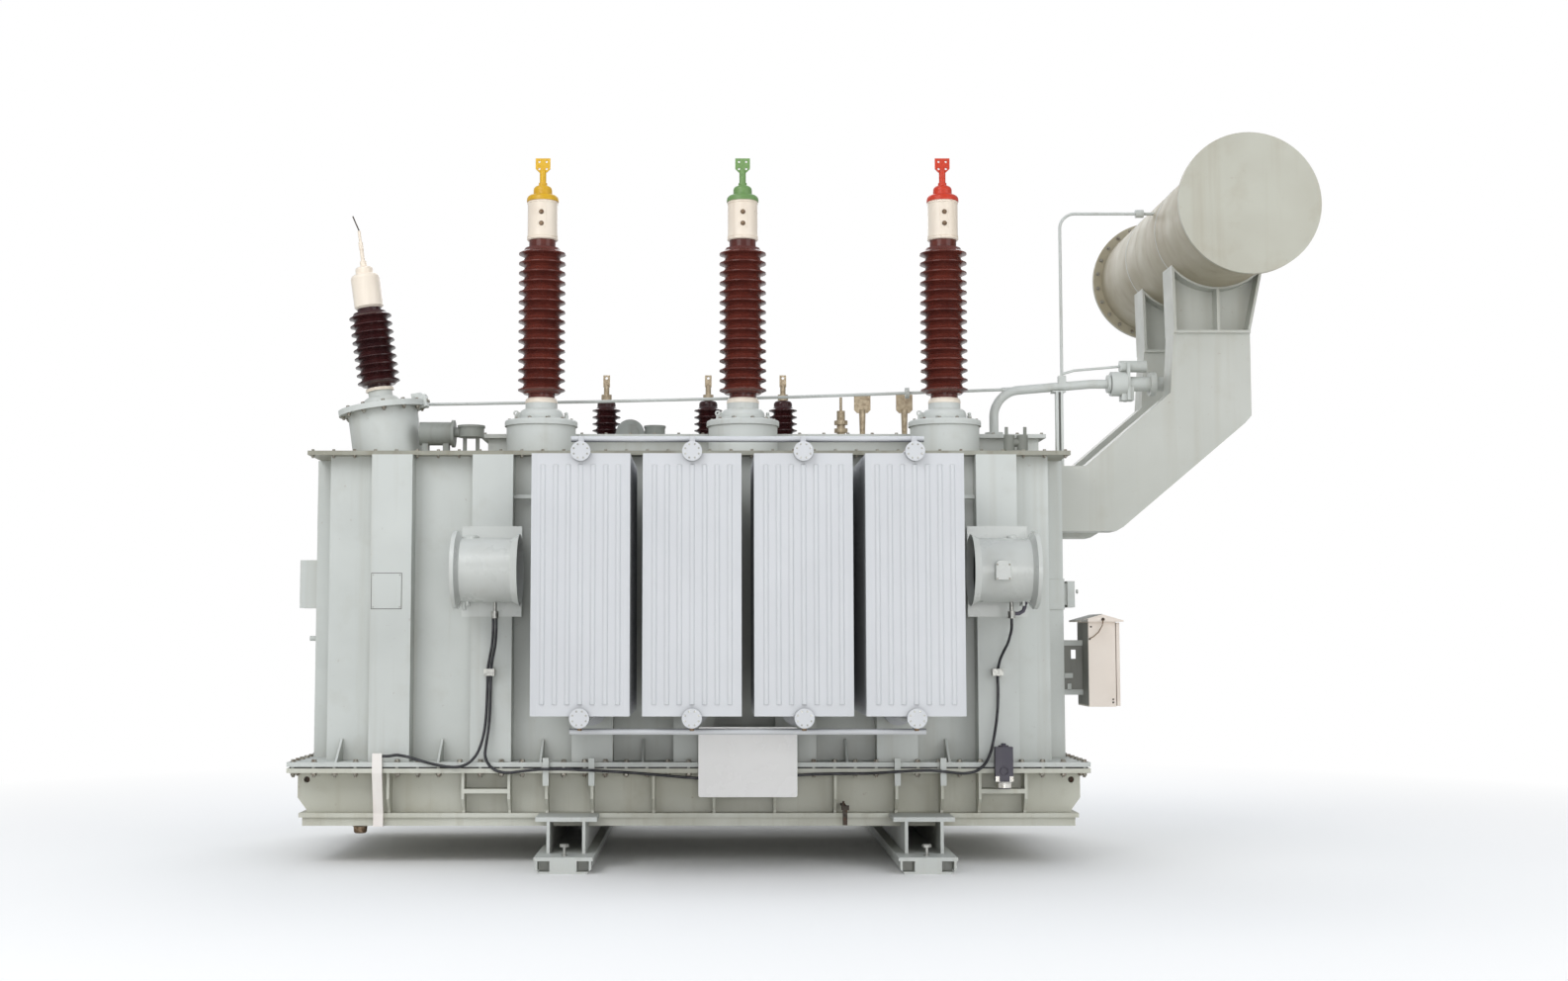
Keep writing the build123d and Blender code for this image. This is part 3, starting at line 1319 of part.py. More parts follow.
def conservator_room():
    """Space of the drum, with its seating gap, that pipes are cut back to."""
    return rod_y(CONSERVATOR_R + FIT_GAP, CONSERVATOR_LENGTH, CONSERVATOR_X, -CONSERVATOR_LENGTH / 2,
                 CONSERVATOR_Z)


def pipe_slope():
    """Rise of the main pipe for each unit of its run, between its bend and the relay."""
    run = RELAY_X - PIPE_EASE_RUN - PIPE_FOOT_X
    return (RELAY_Z - DECK_TOP - PIPE_BEND_RISE) / run


def pipe_height(x):
    """Height of the main pipe's axis at x."""
    return DECK_TOP + PIPE_BEND_RISE + (x - PIPE_FOOT_X) * pipe_slope()


def gas_end():
    return Vector(GAS_END_X, -PIPE_DEPTH, DECK_TOP + GAS_END_RISE)


def gas_right():
    return Vector(GAS_RIGHT_X, -PIPE_DEPTH, DECK_TOP + GAS_RIGHT_RISE)


def make_oil_pipe():
    """Pipe from the raised frame to the relay, and on from the relay to the drum."""
    y = -PIPE_DEPTH
    lower = bent_bar([
        (PIPE_FOOT_X, y, DECK_TOP),
        (PIPE_FOOT_X, y, DECK_TOP + PIPE_BEND_RISE),
        (RELAY_X - PIPE_EASE_RUN, y, RELAY_Z),
        (RELAY_X, y, RELAY_Z),
    ], [PIPE_BEND_R, PIPE_EASE_R], PIPE_R)
    lower += rod_z(PIPE_FOOT_FLANGE_R, PIPE_FOOT_FLANGE_THICK, PIPE_FOOT_X, y, DECK_TOP)
    way = (gas_end() - gas_right()).normalized()
    stub = Plane(origin=gas_end() + way * (GAS_STUB_LENGTH / 2), z_dir=way)
    lower += stub * Cylinder(GAS_STUB_R, GAS_STUB_LENGTH)
    upper = bent_bar([
        (RELAY_X + RELAY_LENGTH, y, RELAY_Z),
        (CONSERVATOR_X, y, RELAY_Z),
        (CONSERVATOR_X, y, CONSERVATOR_Z - CONSERVATOR_R + UPPER_PIPE_R),
    ], [UPPER_PIPE_BEND_R], UPPER_PIPE_R)
    return Compound(children=[lower, upper - conservator_room()])


def make_gas_relay():
    """Relay in the main pipe: two flanged ends, a drum, a cross plate and a terminal box."""
    y = -PIPE_DEPTH
    relay = rod_x(RELAY_BODY_R, RELAY_LENGTH, RELAY_X, y, RELAY_Z)
    relay += rod_x(RELAY_FLANGE_R - RELAY_FLANGE_THICK, RELAY_FLANGE_THICK, RELAY_X, y, RELAY_Z)
    for step in (1, 2):
        start = RELAY_X + RELAY_LENGTH - step * RELAY_FLANGE_THICK - (step - 1) * FIT_GAP
        relay += rod_x(RELAY_FLANGE_R, RELAY_FLANGE_THICK, start, y, RELAY_Z)
    relay += rod_x(RELAY_DRUM_R, RELAY_DRUM_LENGTH, RELAY_X + RELAY_DRUM_START, y, RELAY_Z)
    plate_x = RELAY_X + RELAY_PLATE_START + RELAY_FLANGE_THICK / 2
    relay += block(RELAY_FLANGE_THICK, RELAY_PLATE_WIDTH, RELAY_PLATE_LOW + RELAY_PLATE_HIGH, plate_x, y,
                   RELAY_Z - RELAY_PLATE_LOW)
    relay += rod_x(RELAY_BOX_R, RELAY_BOX_LENGTH, RELAY_X + RELAY_BOX_START, y, RELAY_Z + RELAY_BOX_RISE)
    relay += block(RELAY_LUG_LENGTH, RELAY_LUG_WIDTH, RELAY_PLATE_LOW, RELAY_X + RELAY_LUG_START
                   + RELAY_LUG_LENGTH / 2, y, RELAY_Z - RELAY_PLATE_LOW)
    return relay


def make_gas_pipe():
    """Thin pipe from a fitting on the leaning turret to the main pipe, with one bolted joint."""
    seat = neutral_frame() * Pos(GAS_FITTING_X, GAS_FITTING_Y, neutral_flange_top() + GAS_FITTING_HEIGHT / 2)
    fitting = seat * Box(GAS_FITTING, GAS_FITTING, GAS_FITTING_HEIGHT)
    start = seat.position
    middle_z = DECK_TOP + GAS_MIDDLE_RISE
    turn = Vector(start.X + 2 * GAS_FITTING, start.Y, start.Z)
    back = Vector(start.X + 6 * GAS_FITTING, -PIPE_DEPTH, (start.Z + middle_z) / 2)
    middle = Vector(GAS_MIDDLE_X, -PIPE_DEPTH, middle_z)
    radii = [GAS_PIPE_TURN_R, GAS_PIPE_TURN_R, GAS_PIPE_BEND_R, GAS_PIPE_BEND_R]
    pipe = fitting + bent_bar([start, turn, back, middle, gas_right(), gas_end()], radii, GAS_PIPE_R)
    way = (gas_end() - gas_right()).normalized()
    joint = gas_right() + (gas_end() - gas_right()) * GAS_UNION_SHARE
    return pipe + Plane(origin=joint, z_dir=way) * Cylinder(GAS_UNION_R, GAS_UNION_LENGTH)


def make_breather_pipe():
    """Thin pipe from the top of the drum down to a clamp on the main pipe, with a branch to the relay."""
    y = -PIPE_DEPTH
    foot_low = pipe_height(BREATHER_X)
    top = CONSERVATOR_Z + BREATHER_TOP_RISE
    pipe = bent_bar([
        (BREATHER_X, y, foot_low + CLAMP_FOOT_HEIGHT),
        (BREATHER_X, y, top),
        (CONSERVATOR_X - CONSERVATOR_R / 2, y, top),
    ], [BREATHER_BEND_R], GAS_PIPE_R)
    pipe += rod_x(BREATHER_UNION_R, BREATHER_UNION_LENGTH, BREATHER_UNION_X, y, top)
    pipe += block(CLAMP_FOOT_LENGTH, CLAMP_FOOT_WIDTH, CLAMP_FOOT_HEIGHT, BREATHER_X, y, foot_low)
    branch_low = foot_low + CLAMP_FOOT_HEIGHT + BRANCH_RISE
    box_z = RELAY_Z + RELAY_BOX_RISE
    pipe += bent_bar([
        (BREATHER_X, y, branch_low),
        (BREATHER_X + BRANCH_SLOPE_RUN, y, branch_low + BRANCH_SLOPE_RISE),
        (RELAY_X + RELAY_BOX_START, y, box_z),
    ], [BRANCH_BEND_R], BRANCH_R)
    relay_room = rod_x(RELAY_BOX_R + FIT_GAP, RELAY_BOX_LENGTH, RELAY_X + RELAY_BOX_START - FIT_GAP, y, box_z)
    slope = math.degrees(math.atan(pipe_slope()))
    main = Rot(0, 90 - slope, 0) * Cylinder(PIPE_R + FIT_GAP, 4 * CLAMP_FOOT_LENGTH)
    main = Pos(BREATHER_X, y, foot_low) * main
    return pipe - conservator_room() - relay_room - main


def make_pipe_post():
    """Lipped channel beside the front arm, with a plate on top that the main pipe lies on."""
    arm_back = -ARM_PITCH / 2 + ARM_WIDTH / 2
    y = arm_back + FIT_GAP + POST_DEPTH / 2
    low = ARM_ROOT_HIGH - POST_FOOT_DROP
    left = POST_X - POST_PLATE_LENGTH / 2
    top = pipe_height(left) - PIPE_R - FIT_GAP
    height = top - POST_PLATE_THICK - low
    post = block(POST_WIDTH, POST_DEPTH, height, POST_X, y, low)
    through = height + 2 * CUT
    post -= block(POST_WIDTH - 2 * POST_WALL, POST_DEPTH - 2 * POST_WALL, through, POST_X, y, low - CUT)
    post -= block(POST_SLOT, POST_DEPTH / 2 + CUT, through, POST_X, y - POST_DEPTH / 2, low - CUT)
    plate_depth = PIPE_R - PIPE_DEPTH - arm_back - FIT_GAP
    plate_y = arm_back + FIT_GAP + plate_depth / 2
    plate_low = top - POST_PLATE_THICK
    return post + block(POST_PLATE_LENGTH, plate_depth, POST_PLATE_THICK, POST_X, plate_y, plate_low)


def make_relief_vent():
    """Lying cylinder on two feet, piped to a small capped drum on legs."""
    y = -VENT_DEPTH
    z = LID_TOP + VENT_RISE
    vent = rod_x(VENT_R, VENT_LENGTH, VENT_X, y, z)
    vent += rod_x(VENT_RING_R, VENT_RING_THICK, VENT_X + VENT_LENGTH, y, z)
    for x in (VENT_X + VENT_FOOT_WIDTH, VENT_X + VENT_LENGTH - VENT_FOOT_WIDTH):
        vent += block(VENT_FOOT_WIDTH, VENT_R, VENT_RISE, x, y, LID_TOP)
    ring_end = VENT_X + VENT_LENGTH + VENT_RING_THICK
    drum_x = ring_end + VENT_DRUM_GAP + VENT_DRUM_R
    drum_low = LID_TOP + VENT_DRUM_BOTTOM
    vent += rod_x(VENT_LINK_R, VENT_DRUM_GAP + VENT_DRUM_R, ring_end, y, drum_low + VENT_LINK_R)
    vent += rod_z(VENT_DRUM_R, VENT_DRUM_HEIGHT, drum_x, y, drum_low)
    vent += rod_z(VENT_CAP_R, VENT_CAP_THICK, drum_x, y, drum_low + VENT_DRUM_HEIGHT)
    for step in (-1, 1):
        vent += rod_z(VENT_LEG_R, VENT_DRUM_BOTTOM, drum_x + step * VENT_DRUM_R / 2, y, LID_TOP)
    return vent


def make_twin_valve():
    """Two upright valve barrels on one base, each with an ear on top."""
    y = -VALVE_DEPTH
    low = LID_TOP + VALVE_BASE_HEIGHT
    valve = block(VALVE_BASE_LENGTH, VALVE_BASE_WIDTH, VALVE_BASE_HEIGHT, VALVE_X, y, LID_TOP)
    for step in (-1, 1):
        x = VALVE_X + step * VALVE_BARREL_PITCH / 2
        valve += rod_z(VALVE_BARREL_R, VALVE_BARREL_HEIGHT, x, y, low)
        ear_x = x + step * VALVE_BARREL_R / 2
        ear_low = low + VALVE_BARREL_HEIGHT
        valve += block(VALVE_EAR_WIDTH, VALVE_EAR_THICK, VALVE_EAR_HEIGHT, ear_x, y, ear_low)
    valve += rod_x(VALVE_LINK_R, VALVE_BARREL_PITCH, VALVE_X - VALVE_BARREL_PITCH / 2, y,
                   low + VALVE_BARREL_HEIGHT / 2)
    return valve


def make_gauge_and_pot():
    """Round-faced housing on the raised frame, joined to a small capped pot."""
    z = DECK_TOP + GAUGE_RISE
    housing = rod_y(GAUGE_R, GAUGE_LENGTH, GAUGE_X, GAUGE_DEPTH - GAUGE_LENGTH / 2, z)
    housing += rod_y(GAUGE_RING_R, GAUGE_RING_LENGTH, GAUGE_X,
                     GAUGE_DEPTH - GAUGE_LENGTH / 2 - GAUGE_RING_LENGTH, z)
    housing += rod_x(VENT_LINK_R, POT_X - GAUGE_X, GAUGE_X, GAUGE_DEPTH, DECK_TOP + POT_HEIGHT / 2)
    housing += rod_z(POT_R, POT_HEIGHT, POT_X, GAUGE_DEPTH, DECK_TOP)
    housing += rod_z(POT_CAP_R, POT_CAP_THICK, POT_X, GAUGE_DEPTH, DECK_TOP + POT_HEIGHT)
    sunk = block(4 * GAUGE_R, 4 * GAUGE_LENGTH, 2 * GAUGE_R, GAUGE_X, GAUGE_DEPTH, DECK_TOP - 2 * GAUGE_R)
    return housing - sunk


def make_lid_fittings():
    return Compound(children=[make_relief_vent(), make_twin_valve(), make_gauge_and_pot()])


def make_end_boxes():
    """Closed boxes on the two ends of the tank, and a short stub below the left one."""
    y = -END_STIFFENER_PITCH
    left = block(LEFT_BOX_DEPTH, LEFT_BOX_WIDTH, LEFT_BOX_HEIGHT, -STIFFENER_END - LEFT_BOX_DEPTH / 2, y,
                 LEFT_BOX_BOTTOM)
    stub = rod_x(LEFT_STUB_R, LEFT_STUB_LENGTH, -STIFFENER_END - LEFT_STUB_LENGTH, y, LEFT_STUB_HEIGHT)
    plate_x = STIFFENER_END + RIGHT_PLATE_THICK / 2
    right = block(RIGHT_PLATE_THICK, RIGHT_PLATE_WIDTH, RIGHT_PLATE_HEIGHT, plate_x, y, RIGHT_PLATE_BOTTOM)
    neck_x = STIFFENER_END + RIGHT_PLATE_THICK + RIGHT_NECK_THICK / 2
    neck_inset = 2 * RIGHT_BOX_INSET
    right += block(RIGHT_NECK_THICK, RIGHT_PLATE_WIDTH - 2 * neck_inset, RIGHT_PLATE_HEIGHT - 2 * neck_inset,
                   neck_x, y, RIGHT_PLATE_BOTTOM + neck_inset)
    box_x = STIFFENER_END + RIGHT_PLATE_THICK + RIGHT_NECK_THICK + RIGHT_BOX_THICK / 2
    right += block(RIGHT_BOX_THICK, RIGHT_PLATE_WIDTH - 2 * RIGHT_BOX_INSET,
                   RIGHT_PLATE_HEIGHT - 2 * RIGHT_BOX_INSET, box_x, y, RIGHT_PLATE_BOTTOM + RIGHT_BOX_INSET)
    return Compound(children=[left, stub, right])


def make_air_dryer():
    """Housing held off the flange by a short arm, with a cup below it."""
    back = -FLANGE_FRONT - DRYER_GAP
    y = back - DRYER_DEPTH / 2
    dryer = block(DRYER_WIDTH, DRYER_DEPTH, DRYER_HEIGHT, DRYER_X, y, DRYER_BOTTOM)
    arm_low = UPPER_FLANGE_BOTTOM - (DRYER_ARM - FLANGE_THICK) / 2
    dryer += block(DRYER_ARM, DRYER_GAP, DRYER_ARM, DRYER_X, back + DRYER_GAP / 2, arm_low)
    cup = turned([
        (0, DRYER_BOTTOM - CUP_HEIGHT),
        (CUP_R - CUP_RIM_HEIGHT, DRYER_BOTTOM - CUP_HEIGHT),
        (CUP_R, DRYER_BOTTOM - CUP_HEIGHT + CUP_RIM_HEIGHT),
        (CUP_R, DRYER_BOTTOM - CUP_RIM_HEIGHT),
        (CUP_RIM_R, DRYER_BOTTOM - CUP_RIM_HEIGHT),
        (CUP_RIM_R, DRYER_BOTTOM),
        (0, DRYER_BOTTOM),
    ])
    return dryer + Pos(DRYER_X, y, 0) * cup


def make_trunking():
    """Flat cable trunking that comes down over the flange and the skirt."""
    flange = -FLANGE_FRONT - TRUNKING_GAP
    skirt = -BASE_FRONT - SKIRT_OVERHANG - TRUNKING_GAP
    top = WALL_BOTTOM + TRUNKING_TOP
    outline = [
        (flange, top),
        (flange, LOWER_FLANGE_BOTTOM),
        (skirt, SKIRT_TOP),
        (skirt, BASE_BOTTOM),
        (skirt - TRUNKING_THICK, BASE_BOTTOM),
        (skirt - TRUNKING_THICK, SKIRT_TOP),
        (flange - TRUNKING_THICK, LOWER_FLANGE_BOTTOM),
        (flange - TRUNKING_THICK, top),
    ]
    return plate_yz(outline, TRUNKING_WIDTH, TRUNKING_X)


def make_cable_clip(x):
    """Strap on the face of a stiffener that holds the fan cable."""
    y = -STIFFENER_FRONT - CLIP_DEPTH / 2
    clip = block(CLIP_WIDTH, CLIP_DEPTH, CLIP_HEIGHT, x, y, CLIP_BOTTOM)
    room = block(CLIP_WIDTH - 2 * CLIP_WALL, CLIP_DEPTH, CLIP_HEIGHT + 2 * CUT, x, y + CLIP_WALL,
                 CLIP_BOTTOM - CUT)
    return clip - room


def make_cable_gland(x):
    """Stub and gland below a front fan, where its cables come out."""
    low = GLAND_BOTTOM + CABLE_GLAND_HEIGHT
    stub = rod_z(CABLE_STUB_R, CABLE_STUB_HEIGHT + DUCT_R / 2, x, FAN_AXIS_Y, low)
    duct = rod_x(DUCT_R + FIT_GAP, 2 * DUCT_R, x - DUCT_R, FAN_AXIS_Y, FAN_AXIS_HEIGHT)
    return stub - duct + rod_z(CABLE_GLAND_R, CABLE_GLAND_HEIGHT, x, FAN_AXIS_Y, GLAND_BOTTOM)


def make_cable_clips():
    shapes = [make_cable_clip(x) for x in (LEFT_CLIP_X, RIGHT_CLIP_X)]
    return Compound(children=shapes + [make_cable_gland(x) for x in (LEFT_GLAND_X, RIGHT_GLAND_X)])


def corner_radii(points):
    """Radius of the arc at each corner of a cable, as large as its two runs allow."""
    radii = []
    for before, corner, after in zip(points, points[1:], points[2:]):
        run_in = Vector(corner) - Vector(before)
        run_out = Vector(after) - Vector(corner)
        half_turn = math.radians(run_in.get_angle(run_out)) / 2
        radii.append(RUN_SHARE * min(run_in.length, run_out.length) / math.tan(half_turn))
    return radii


def cable_points(start, run):
    """Points of a cable from its run, which is measured from a place along the tank."""
    return [(start + along, -TANK_FRONT - out, GLAND_BOTTOM - down) for along, out, down in run]


def make_left_cable():
    """Cable from the left-hand fan to the trunking."""
    points = cable_points(LEFT_GLAND_X, LEFT_RUN_FROM_GLAND)
    return make_cable(points + cable_points(TRUNKING_X, LEFT_RUN_FROM_TRUNKING))


def make_link_cable():
    """Cable from one front fan to the other, laid along the flange."""
    points = cable_points(LEFT_GLAND_X, LINK_RUN_FROM_LEFT)
    return make_cable(points + cable_points(RIGHT_GLAND_X, LINK_RUN_FROM_RIGHT))


def make_cable(points):
    radii = corner_radii(points)
    path = FilletPolyline(*points, radius=radii)
    cable = bent_bar(points, radii, CABLE_R)
    print("cable length", round(path.length), "smallest arc", round(min(radii)),
          "arcs", [round(radius) for radius in radii])
    print("volume over section times length",
          round(cable.volume / (path.length * math.pi * CABLE_R ** 2), 4))
    return cable


def cabinet_left():
    return STIFFENER_END + CABINET_STANDOFF


def hinge_levels():
    """Heights of the two hinges of the cabinet door."""
    quarter = CABINET_HEIGHT / 4
    return [CABINET_BOTTOM + quarter, CABINET_BOTTOM + CABINET_HEIGHT - quarter]


def make_cabinet_body():
    x = cabinet_left() + CABINET_DEPTH_X / 2
    body = block(CABINET_DEPTH_X, CABINET_WIDTH_Y, CABINET_HEIGHT, x, CABINET_Y, CABINET_BOTTOM)
    top = CABINET_BOTTOM + CABINET_HEIGHT
    half = CABINET_DEPTH_X / 2 + CABINET_ROOF_OVERHANG
    roof = [
        (x - half, top),
        (x + half, top),
        (x + half, top + CABINET_ROOF_EAVE),
        (x, top + CABINET_ROOF_RISE),
        (x - half, top + CABINET_ROOF_EAVE),
    ]
    body += plate_xz(roof, CABINET_WIDTH_Y + CABINET_ROOF_OVERHANG, CABINET_Y)
    pin_x = cabinet_left() + CABINET_DEPTH_X + DOOR_THICK / 2 + DOOR_GAP
    pin_y = CABINET_Y + CABINET_WIDTH_Y / 2 - HINGE_R
    for z in hinge_levels():
        pin_low = z - HINGE_LENGTH / 2
        body += rod_z(HINGE_R, HINGE_LENGTH / 2, pin_x, pin_y, pin_low)
        leaf = DOOR_THICK / 2 + DOOR_GAP + CUT
        body += block(leaf, HINGE_R, HINGE_LENGTH / 2, pin_x - leaf / 2, pin_y, pin_low)
    return body


def make_cabinet_door():
    x = cabinet_left() + CABINET_DEPTH_X + DOOR_GAP + DOOR_THICK / 2
    width = CABINET_WIDTH_Y - 4 * HINGE_R
    y = CABINET_Y - CABINET_WIDTH_Y / 2 + width / 2
    height = CABINET_HEIGHT - 2 * DOOR_GAP
    door = block(DOOR_THICK, width, height, x, y, CABINET_BOTTOM + DOOR_GAP)
    pin_y = CABINET_Y + CABINET_WIDTH_Y / 2 - HINGE_R
    for z in hinge_levels():
        low = z + HINGE_CLEARANCE
        knuckle = rod_z(HINGE_R, HINGE_LENGTH / 2, x, pin_y, low)
        reach = pin_y - (y + width / 2)
        knuckle += block(HINGE_R, reach + CUT, HINGE_LENGTH / 2, x, pin_y - (reach + CUT) / 2, low)
        door += knuckle
    return door


def make_cabinet_brackets():
    shapes = []
    for z in (BRACKET_UPPER, BRACKET_LOWER):
        for step in (-1, 1):
            y = step * STIFFENER_WIDTH / 4 - END_STIFFENER_PITCH
            x = STIFFENER_END + CABINET_STANDOFF / 2
            low = z - BRACKET_HEIGHT / 2
            shapes.append(block(CABINET_STANDOFF, BRACKET_WIDTH, BRACKET_HEIGHT, x, y, low))
    return Compound(children=shapes)


def build_nodes():
    nodes = {
        "bell_tank": make_bell_tank(),
        "tank_lid": make_tank_lid(),
        "lid_frame": make_lid_frame(),
        "base_tank": make_base_tank(),
        "flange_gasket": make_flange_gasket(),
        "flange_clamps": make_flange_clamps(),
        "runner_left": make_runner(-1),
        "runner_right": make_runner(1),
        "radiator_ties": make_radiator_ties(),
        "fan_motors": Compound(children=four_fans(make_fan_motor())),
        "fan_brackets": Compound(children=four_fans(make_fan_bracket())),
        "hv_turrets": make_hv_turrets(),
        "hv_porcelain": make_hv_porcelain(),
        "hv_sleeves": make_hv_sleeves(),
        "neutral_turret": make_neutral_turret(),
        "neutral_porcelain": make_neutral_porcelain(),
        "neutral_cap": make_neutral_cap(),
        "lv_porcelain": make_lv_porcelain(),
        "lv_terminals": make_lv_terminals(),
        "lid_fittings": make_lid_fittings(),
        "conservator_shell": make_conservator_shell(),
        "conservator_front_end": make_conservator_end(-1),
        "conservator_rear_end": make_conservator_end(1),
        "conservator_arm_front": make_conservator_arm(-1),
        "conservator_arm_rear": make_conservator_arm(1),
        "conservator_cradles": Compound(children=[make_conservator_cradle(-1), make_conservator_cradle(1)]),
        "oil_pipe": make_oil_pipe(),
        "gas_relay": make_gas_relay(),
        "gas_pipe": make_gas_pipe(),
        "breather_pipe": make_breather_pipe(),
        "pipe_post": make_pipe_post(),
        "end_boxes": make_end_boxes(),
        "air_dryer": make_air_dryer(),
        "cable_trunking": make_trunking(),
        "cable_clips": make_cable_clips(),
        "cable_left": make_left_cable(),
        "cable_link": make_link_cable(),
        "cabinet_body": make_cabinet_body(),
        "cabinet_door": make_cabinet_door(),
        "cabinet_brackets": make_cabinet_brackets(),
    }
    for letter, x in zip("abc", phase_positions()):
        nodes[f"hv_cap_{letter}"] = make_hv_cap(x)
    radiator = make_radiator()
    for index, x in enumerate(radiator_positions()):
        front, rear = sides(Pos(x, 0, 0) * radiator)
        nodes[f"radiator_front_{index + 1}"] = front
        nodes[f"radiator_rear_{index + 1}"] = rear
    for name, shape in (("duct", make_fan_duct()), ("rotor", make_fan_rotor())):
        for side, placed in (("right", shape), ("left", left_fan(shape))):
            front, rear = sides(placed)
            nodes[f"fan_{name}_front_{side}"] = front
            nodes[f"fan_{name}_rear_{side}"] = rear
    return nodes


os.makedirs("parts", exist_ok=True)
for name, shape in build_nodes().items():
    export_step(Pos(-ORIGIN_X, 0, 0) * shape, f"parts/{name}.step")
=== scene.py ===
import bpy
import json
import math
from mathutils import Matrix, Vector


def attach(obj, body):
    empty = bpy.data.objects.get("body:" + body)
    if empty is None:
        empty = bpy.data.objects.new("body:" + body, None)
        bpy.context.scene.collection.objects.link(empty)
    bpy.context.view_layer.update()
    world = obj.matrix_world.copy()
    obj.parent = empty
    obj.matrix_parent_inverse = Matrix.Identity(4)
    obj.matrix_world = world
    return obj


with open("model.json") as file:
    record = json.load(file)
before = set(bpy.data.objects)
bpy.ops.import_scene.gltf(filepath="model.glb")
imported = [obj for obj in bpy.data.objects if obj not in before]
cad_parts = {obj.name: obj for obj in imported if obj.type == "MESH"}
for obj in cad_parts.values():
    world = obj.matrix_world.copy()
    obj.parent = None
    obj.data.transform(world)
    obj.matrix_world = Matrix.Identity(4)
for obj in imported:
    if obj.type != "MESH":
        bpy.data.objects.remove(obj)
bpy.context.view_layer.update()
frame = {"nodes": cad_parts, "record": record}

# Places below are in the tank's own millimetres: x and y from the middle of the tank, z from the
# floor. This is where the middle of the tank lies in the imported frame, in metres.
TANK_MIDDLE = (-0.6365, 0.0, 0.0)
MM = 0.001
BEVEL_ANGLE = 40.0
SHARP_ANGLE = 38.0

# Bolts, as shares of the bolt's radius; a nut's chamfer, as shares of its height and radius
WASHER_SHARE = 0.18
WASHER_R_SHARE = 1.25
HEAD_SHARE = 0.85
STUD_R_SHARE = 0.55
STUD_EDGE_SHARE = 0.1
CHAMFER_SHARE = 0.8
CHAMFER_R_SHARE = 0.84
UP = (0, 0, 1)
DOWN = (0, 0, -1)
LEFT = (-1, 0, 0)
RIGHT = (1, 0, 0)
FORWARD = (0, -1, 0)
BACKWARD = (0, 1, 0)

# Camera, matched to the photograph
CAMERA_X = 144.0
CAMERA_Y = -11830.0
CAMERA_Z = 1317.0
CAMERA_PITCH = 94.364
CAMERA_LENS = 43.13
CAMERA_SHIFT = 0.0448

# Studio, in metres and watts: each lamp has its name, place, size and power
LAMPS = [("key", (-5.5, -8.0, 8.0), 6.0, 350.0), ("fill", (7.0, -7.0, 5.0), 6.0, 165.0),
         ("front", (0.5, -18.0, 0.9), 6.0, 800.0), ("back", (0.0, 8.0, 7.0), 7.0, 280.0)]
LAMP_AIM = (0, 0, 1.6)
WORLD_STRENGTH = 0.68
FLOOR_HALF = 60.0
FADE_START = 3.6
FADE_END = 8.5

# Tank, its flange and the gasket line
FLANGE_FRONT = 990.0
FLANGE_END = 2302.0
FLANGE_TOP = 584.0
FLANGE_BOTTOM = 523.0
BOLT_INSET = 32.0
BOLT_PITCH = 118.0
FLANGE_HEAD_R = 15.0
FLANGE_NUT_R = 17.0
FLANGE_STUD = 9.0
FLANGE_TURN = 0.7
BAY_PITCH = 586.0
BAYS = [-1728.0 + BAY_PITCH * bay for bay in range(7)]
RIB_ROOM = 26.0
GUSSETS = [-1726.0, -1296.0, -1032.0, -816.0, -554.0, -202.0, 145.0, 495.0, 842.0, 1194.0, 1456.0,
           1672.0, 1936.0]
GUSSET_ROOM = 30.0
GASKET_BOTTOM = 549.0
GASKET_INSET = 14.0
SPACER_PROUD = 1.5
SPACER_DEPTH = 12.0
SPACER_HALF = 8.0
SPACER_LOW = 0.6
SPACER_HIGH = 8.4
STIFFENER_FRONT = 935.0
STIFFENER_HALF = 118.0

# Lid and the raised frame on it
LID_FRONT = 900.0
LID_END = 2230.0
LID_TOP = 2385.0
LID_BOTTOM = 2360.0
LID_BOLT_INSET = 26.0
LID_BOLT_PITCH = 124.0
LID_HEAD_R = 10.0
LID_NUT_R = 11.0
LID_NUT_ROOM = 16.0
LID_STUD = 6.0
LID_TURN = 0.9
DECK_TOP = 2544.0
DECK_FRONT = -320.0
DECK_REAR = 780.0
DECK_LEFT = -1290.0
DECK_RIGHT = 2190.0
DECK_INSET_X = 24.0
DECK_INSET_Y = 20.0
DECK_BOLT_PITCH = 150.0

# Tall bushings: outlines are pairs of radius and height
PHASES = [-897.0, 320.0, 1537.0]
PHASE_Y = -553.0
TURRET_FLANGE_TOP = 2597.0
TURRET_BOLT_CIRCLE = 193.0
TURRET_BOLT_R = 9.0
DOME_BOLT_CIRCLE = 154.0
DOME_RISE = 8.0
DOME_TILT = 0.35
FIN_OUTLINE = [(120.0, 12.0), (163.0, 4.0), (161.0, 36.0), (146.0, 54.0), (118.0, 54.0)]
FIN_THICK = 10.0
EYE_RING = [(8.0, -7.0), (17.0, -7.0), (17.0, 7.0), (8.0, 7.0), (8.0, -7.0)]
EYE_OUT = 152.0
EYE_UP = 48.0
VENT_OUT = 150.0
VENT_UP = 2.0
VENT_R = 13.0
VENT_HEIGHT = 34.0
VENT_CAP = [(0, 0), (8.0, 2.0), (12.0, 10.0), (8.0, 18.0), (0, 21.0)]
COLLAR_TOP = 2707.0
PORCELAIN_TOP = 3712.0
FOOT_RING = [(81.5, -4.0), (97.0, -4.0), (98.0, 4.0), (94.0, 20.0), (86.0, 27.0), (81.5, 27.0)]
HEAD_RING = [(81.5, -14.0), (88.0, -14.0), (94.0, -8.0), (94.0, 2.0), (91.0, 5.0)]
SLEEVE_BAND = [(90.8, -5.0), (93.5, -4.0), (93.5, 4.0), (90.8, 5.0)]
BAND_LEVELS = [10.0, 216.0]
SLEEVE_R = 91.0
